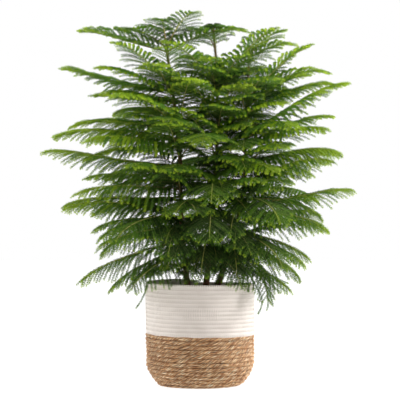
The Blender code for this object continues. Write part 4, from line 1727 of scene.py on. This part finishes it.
@dataclass
class Soil:
    """The peat in the basket: a lumpy surface, higher at the stems, with crumbs lying on it."""

    form: BasketForm
    rings: int = 46
    sides: int = 120
    crumbs: int = 620

    def build(self) -> None:
        """Builds the surface and its crumbs."""
        finish = SoilFinish("potting_soil", paint(38, 28, 21), paint(84, 64, 46))
        edge = self.form.body_radius - self.form.wall - 0.0005
        radii = edge * np.linspace(0.004, 1.0, self.rings)
        profile = np.stack([radii, np.full(self.rings, self.form.soil_level)], axis=1)
        skirt = np.array([(edge, self.form.soil_level - 0.02), (0.004, self.form.soil_level - 0.02)])
        points, faces = turned(np.concatenate([profile, skirt]), self.sides)
        top = points[: self.rings].reshape(-1, 3)
        top[:, 2] += self._relief(top)
        shape = Shape()
        shape.add(points.reshape(-1, 3), faces)
        show("soil_surface", shape.mesh("soil_surface"), finish, ["soil"])
        self._build_crumbs(edge)

    def _relief(self, points: np.ndarray) -> np.ndarray:
        """How far the surface stands above its level at each point."""
        relief = 0.0011 * ripple(points, 0.021, 51) + 0.0007 * ripple(points, 0.008, 52)
        for stem in STEMS:
            away = np.linalg.norm(points[:, :2] - np.array(stem.line[0][:2]), axis=1)
            relief = relief + 0.0035 * np.exp(-((away / 0.022) ** 2))
        return relief

    def _build_crumbs(self, edge: float) -> None:
        """Scatters small angular crumbs of bark on the surface."""
        chance = np.random.default_rng(STARTING_NUMBER + 6)
        radius = (edge - 0.004) * np.sqrt(chance.uniform(0.0, 1.0, self.crumbs))
        azimuth = chance.uniform(0.0, math.tau, self.crumbs)
        level = np.full(self.crumbs, self.form.soil_level)
        centre = np.stack([radius * np.cos(azimuth), radius * np.sin(azimuth), level], axis=1)
        centre[:, 2] += self._relief(centre) + 0.0006
        corners = np.array([(1, 0, 0), (-1, 0, 0), (0, 1, 0), (0, -1, 0), (0, 0, 1), (0, 0, -1)], float)
        faces = np.array(
            [(0, 2, 4), (2, 1, 4), (1, 3, 4), (3, 0, 4), (2, 0, 5), (1, 2, 5), (3, 1, 5), (0, 3, 5)]
        )
        size = chance.uniform(0.0010, 0.0036, (self.crumbs, 1, 1)) * np.array((1.0, 0.7, 0.45))
        shapes = corners[None] * size * chance.uniform(0.7, 1.3, (self.crumbs, 6, 1))
        turn = chance.uniform(0.0, math.tau, self.crumbs)[:, None]
        level_x = shapes[:, :, 0] * np.cos(turn) - shapes[:, :, 1] * np.sin(turn)
        level_y = shapes[:, :, 0] * np.sin(turn) + shapes[:, :, 1] * np.cos(turn)
        points = centre[:, None] + np.stack([level_x, level_y, shapes[:, :, 2]], axis=-1)
        shape = Shape()
        every = (faces[None] + np.arange(self.crumbs)[:, None, None] * 6).reshape(-1, 3)
        shape.add(points.reshape(-1, 3), every)
        finish = SoilFinish("bark_crumbs", paint(60, 42, 30), paint(128, 98, 70))
        show("soil_crumbs", shape.mesh("soil_crumbs", False), finish, ["soil"])


# ---- Studio --------------------------------------------------------------------------------


@dataclass(frozen=True)
class Lamp:
    """One soft light panel, aimed at the middle of the plant."""

    name: str
    place: tuple[float, float, float]
    size: float
    power: float

    def build(self, target: np.ndarray) -> None:
        """Puts the panel in the scene."""
        data = bpy.data.lights.new(self.name, "AREA")
        data.shape = "DISK"
        data.size = self.size
        data.energy = self.power
        lamp = bpy.data.objects.new(self.name, data)
        lamp.location = self.place
        lamp.rotation_euler = facing(np.array(self.place), target)
        bpy.context.scene.collection.objects.link(lamp)


def facing(place: np.ndarray, target: np.ndarray) -> tuple[float, float, float]:
    """The turn that points an object's own -Z from a place to a target."""
    away = target - place
    level = math.hypot(away[0], away[1])
    return (math.atan2(level, -away[2]), 0.0, math.atan2(away[1], away[0]) - math.pi / 2.0)


@dataclass(frozen=True)
class Studio:
    """A pale floor, white surroundings, soft panels and the camera."""

    floor_radius: float = 9.0
    floor_colour: Colour = paint(108, 108, 108)
    floor_glow_colour: Colour = paint(255, 255, 254)
    floor_glow: float = 0.92
    surroundings: float = 1.0
    front_dim: float = 0.30
    camera_place: tuple[float, float, float] = (0.0, -4.37, 0.470)
    camera_lens: float = 154.26
    target: tuple[float, float, float] = (0.0, 0.0, 0.50)
    lamps: tuple[Lamp, ...] = (
        Lamp("panel_right", (2.3, 0.2, 1.3), 1.5, 62.0),
        Lamp("panel_left", (-2.4, 0.2, 1.4), 1.5, 30.0),
        Lamp("panel_top", (0.5, -0.5, 2.8), 1.6, 46.0),
    )

    def build(self) -> None:
        """Puts the studio in the scene."""
        self._build_floor()
        self._build_surroundings()
        for lamp in self.lamps:
            lamp.build(np.array(self.target))
        data = bpy.data.cameras.new("camera")
        data.lens = self.camera_lens
        data.sensor_width = 36.0
        camera = bpy.data.objects.new("camera", data)
        camera.location = self.camera_place
        camera.rotation_euler = (math.pi / 2.0, 0.0, 0.0)
        bpy.context.scene.collection.objects.link(camera)
        bpy.context.scene.camera = camera
        bpy.context.scene.view_settings.view_transform = "Standard"

    def _build_surroundings(self) -> None:
        """Makes the white surroundings, dimmer behind the camera so that the plant has a dark side."""
        world = bpy.data.worlds.new("surroundings")
        world.use_nodes = True
        nodes = Nodes(world.node_tree)
        heading = nodes.node("ShaderNodeTexCoord", output="Generated")
        level = nodes.node("ShaderNodeSeparateXYZ", None, {0: heading}, 1)
        share = level.ramp(-0.6, 0.1)
        white = (self.surroundings, self.surroundings, self.surroundings, 1.0)
        dim = (self.front_dim * 1.06, self.front_dim, self.front_dim * 0.92, 1.0)
        nodes.feed(world.node_tree.nodes["Background"].inputs["Color"], nodes.mix(share, dim, white))
        bpy.context.scene.world = world

    def _build_floor(self) -> None:
        """Builds the floor."""
        points, faces = turned(np.array([(0.02, -0.0004), (0.5, -0.0004), (self.floor_radius, -0.0004)]), 96)
        shape = Shape()
        shape.add(points, faces)
        middle = np.arange(96)[None]
        shape.corners.append(middle.reshape(-1))
        shape.sizes.append(np.array([96]))
        shader = Shader("floor")
        grain = shader.noise(shader.place(), 3.0, 2.0)
        shader.set(
            Base_Color=self.floor_colour,
            Roughness=0.85 + 0.1 * grain,
            Emission_Color=self.floor_glow_colour,
            Emission_Strength=self.floor_glow,
        )
        mesh = shape.mesh("floor")
        mesh.materials.append(shader.material)
        floor = bpy.data.objects.new("floor", mesh)
        bpy.context.scene.collection.objects.link(floor)


def clear_start() -> None:
    """Removes the things that Blender's own first scene holds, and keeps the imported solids."""
    things = [*frame["nodes"].values(), *frame["bodies"].values()]
    kept = {thing.name for thing in things}
    for thing in list(bpy.data.objects):
        if thing.name not in kept:
            bpy.data.objects.remove(thing, do_unlink=True)


def main() -> None:
    """Builds the plant, the basket and the studio."""
    logging.basicConfig(level=logging.INFO, format="%(name)s: %(message)s")
    clear_start()
    Studio().build()
    form = BasketForm()
    SeagrassCup(form).build()
    CottonBand(form).build()
    Soil(form).build()
    Trunks().build()
    Crown().build()
    Leader().build()


if __name__ == "__main__":
    main()
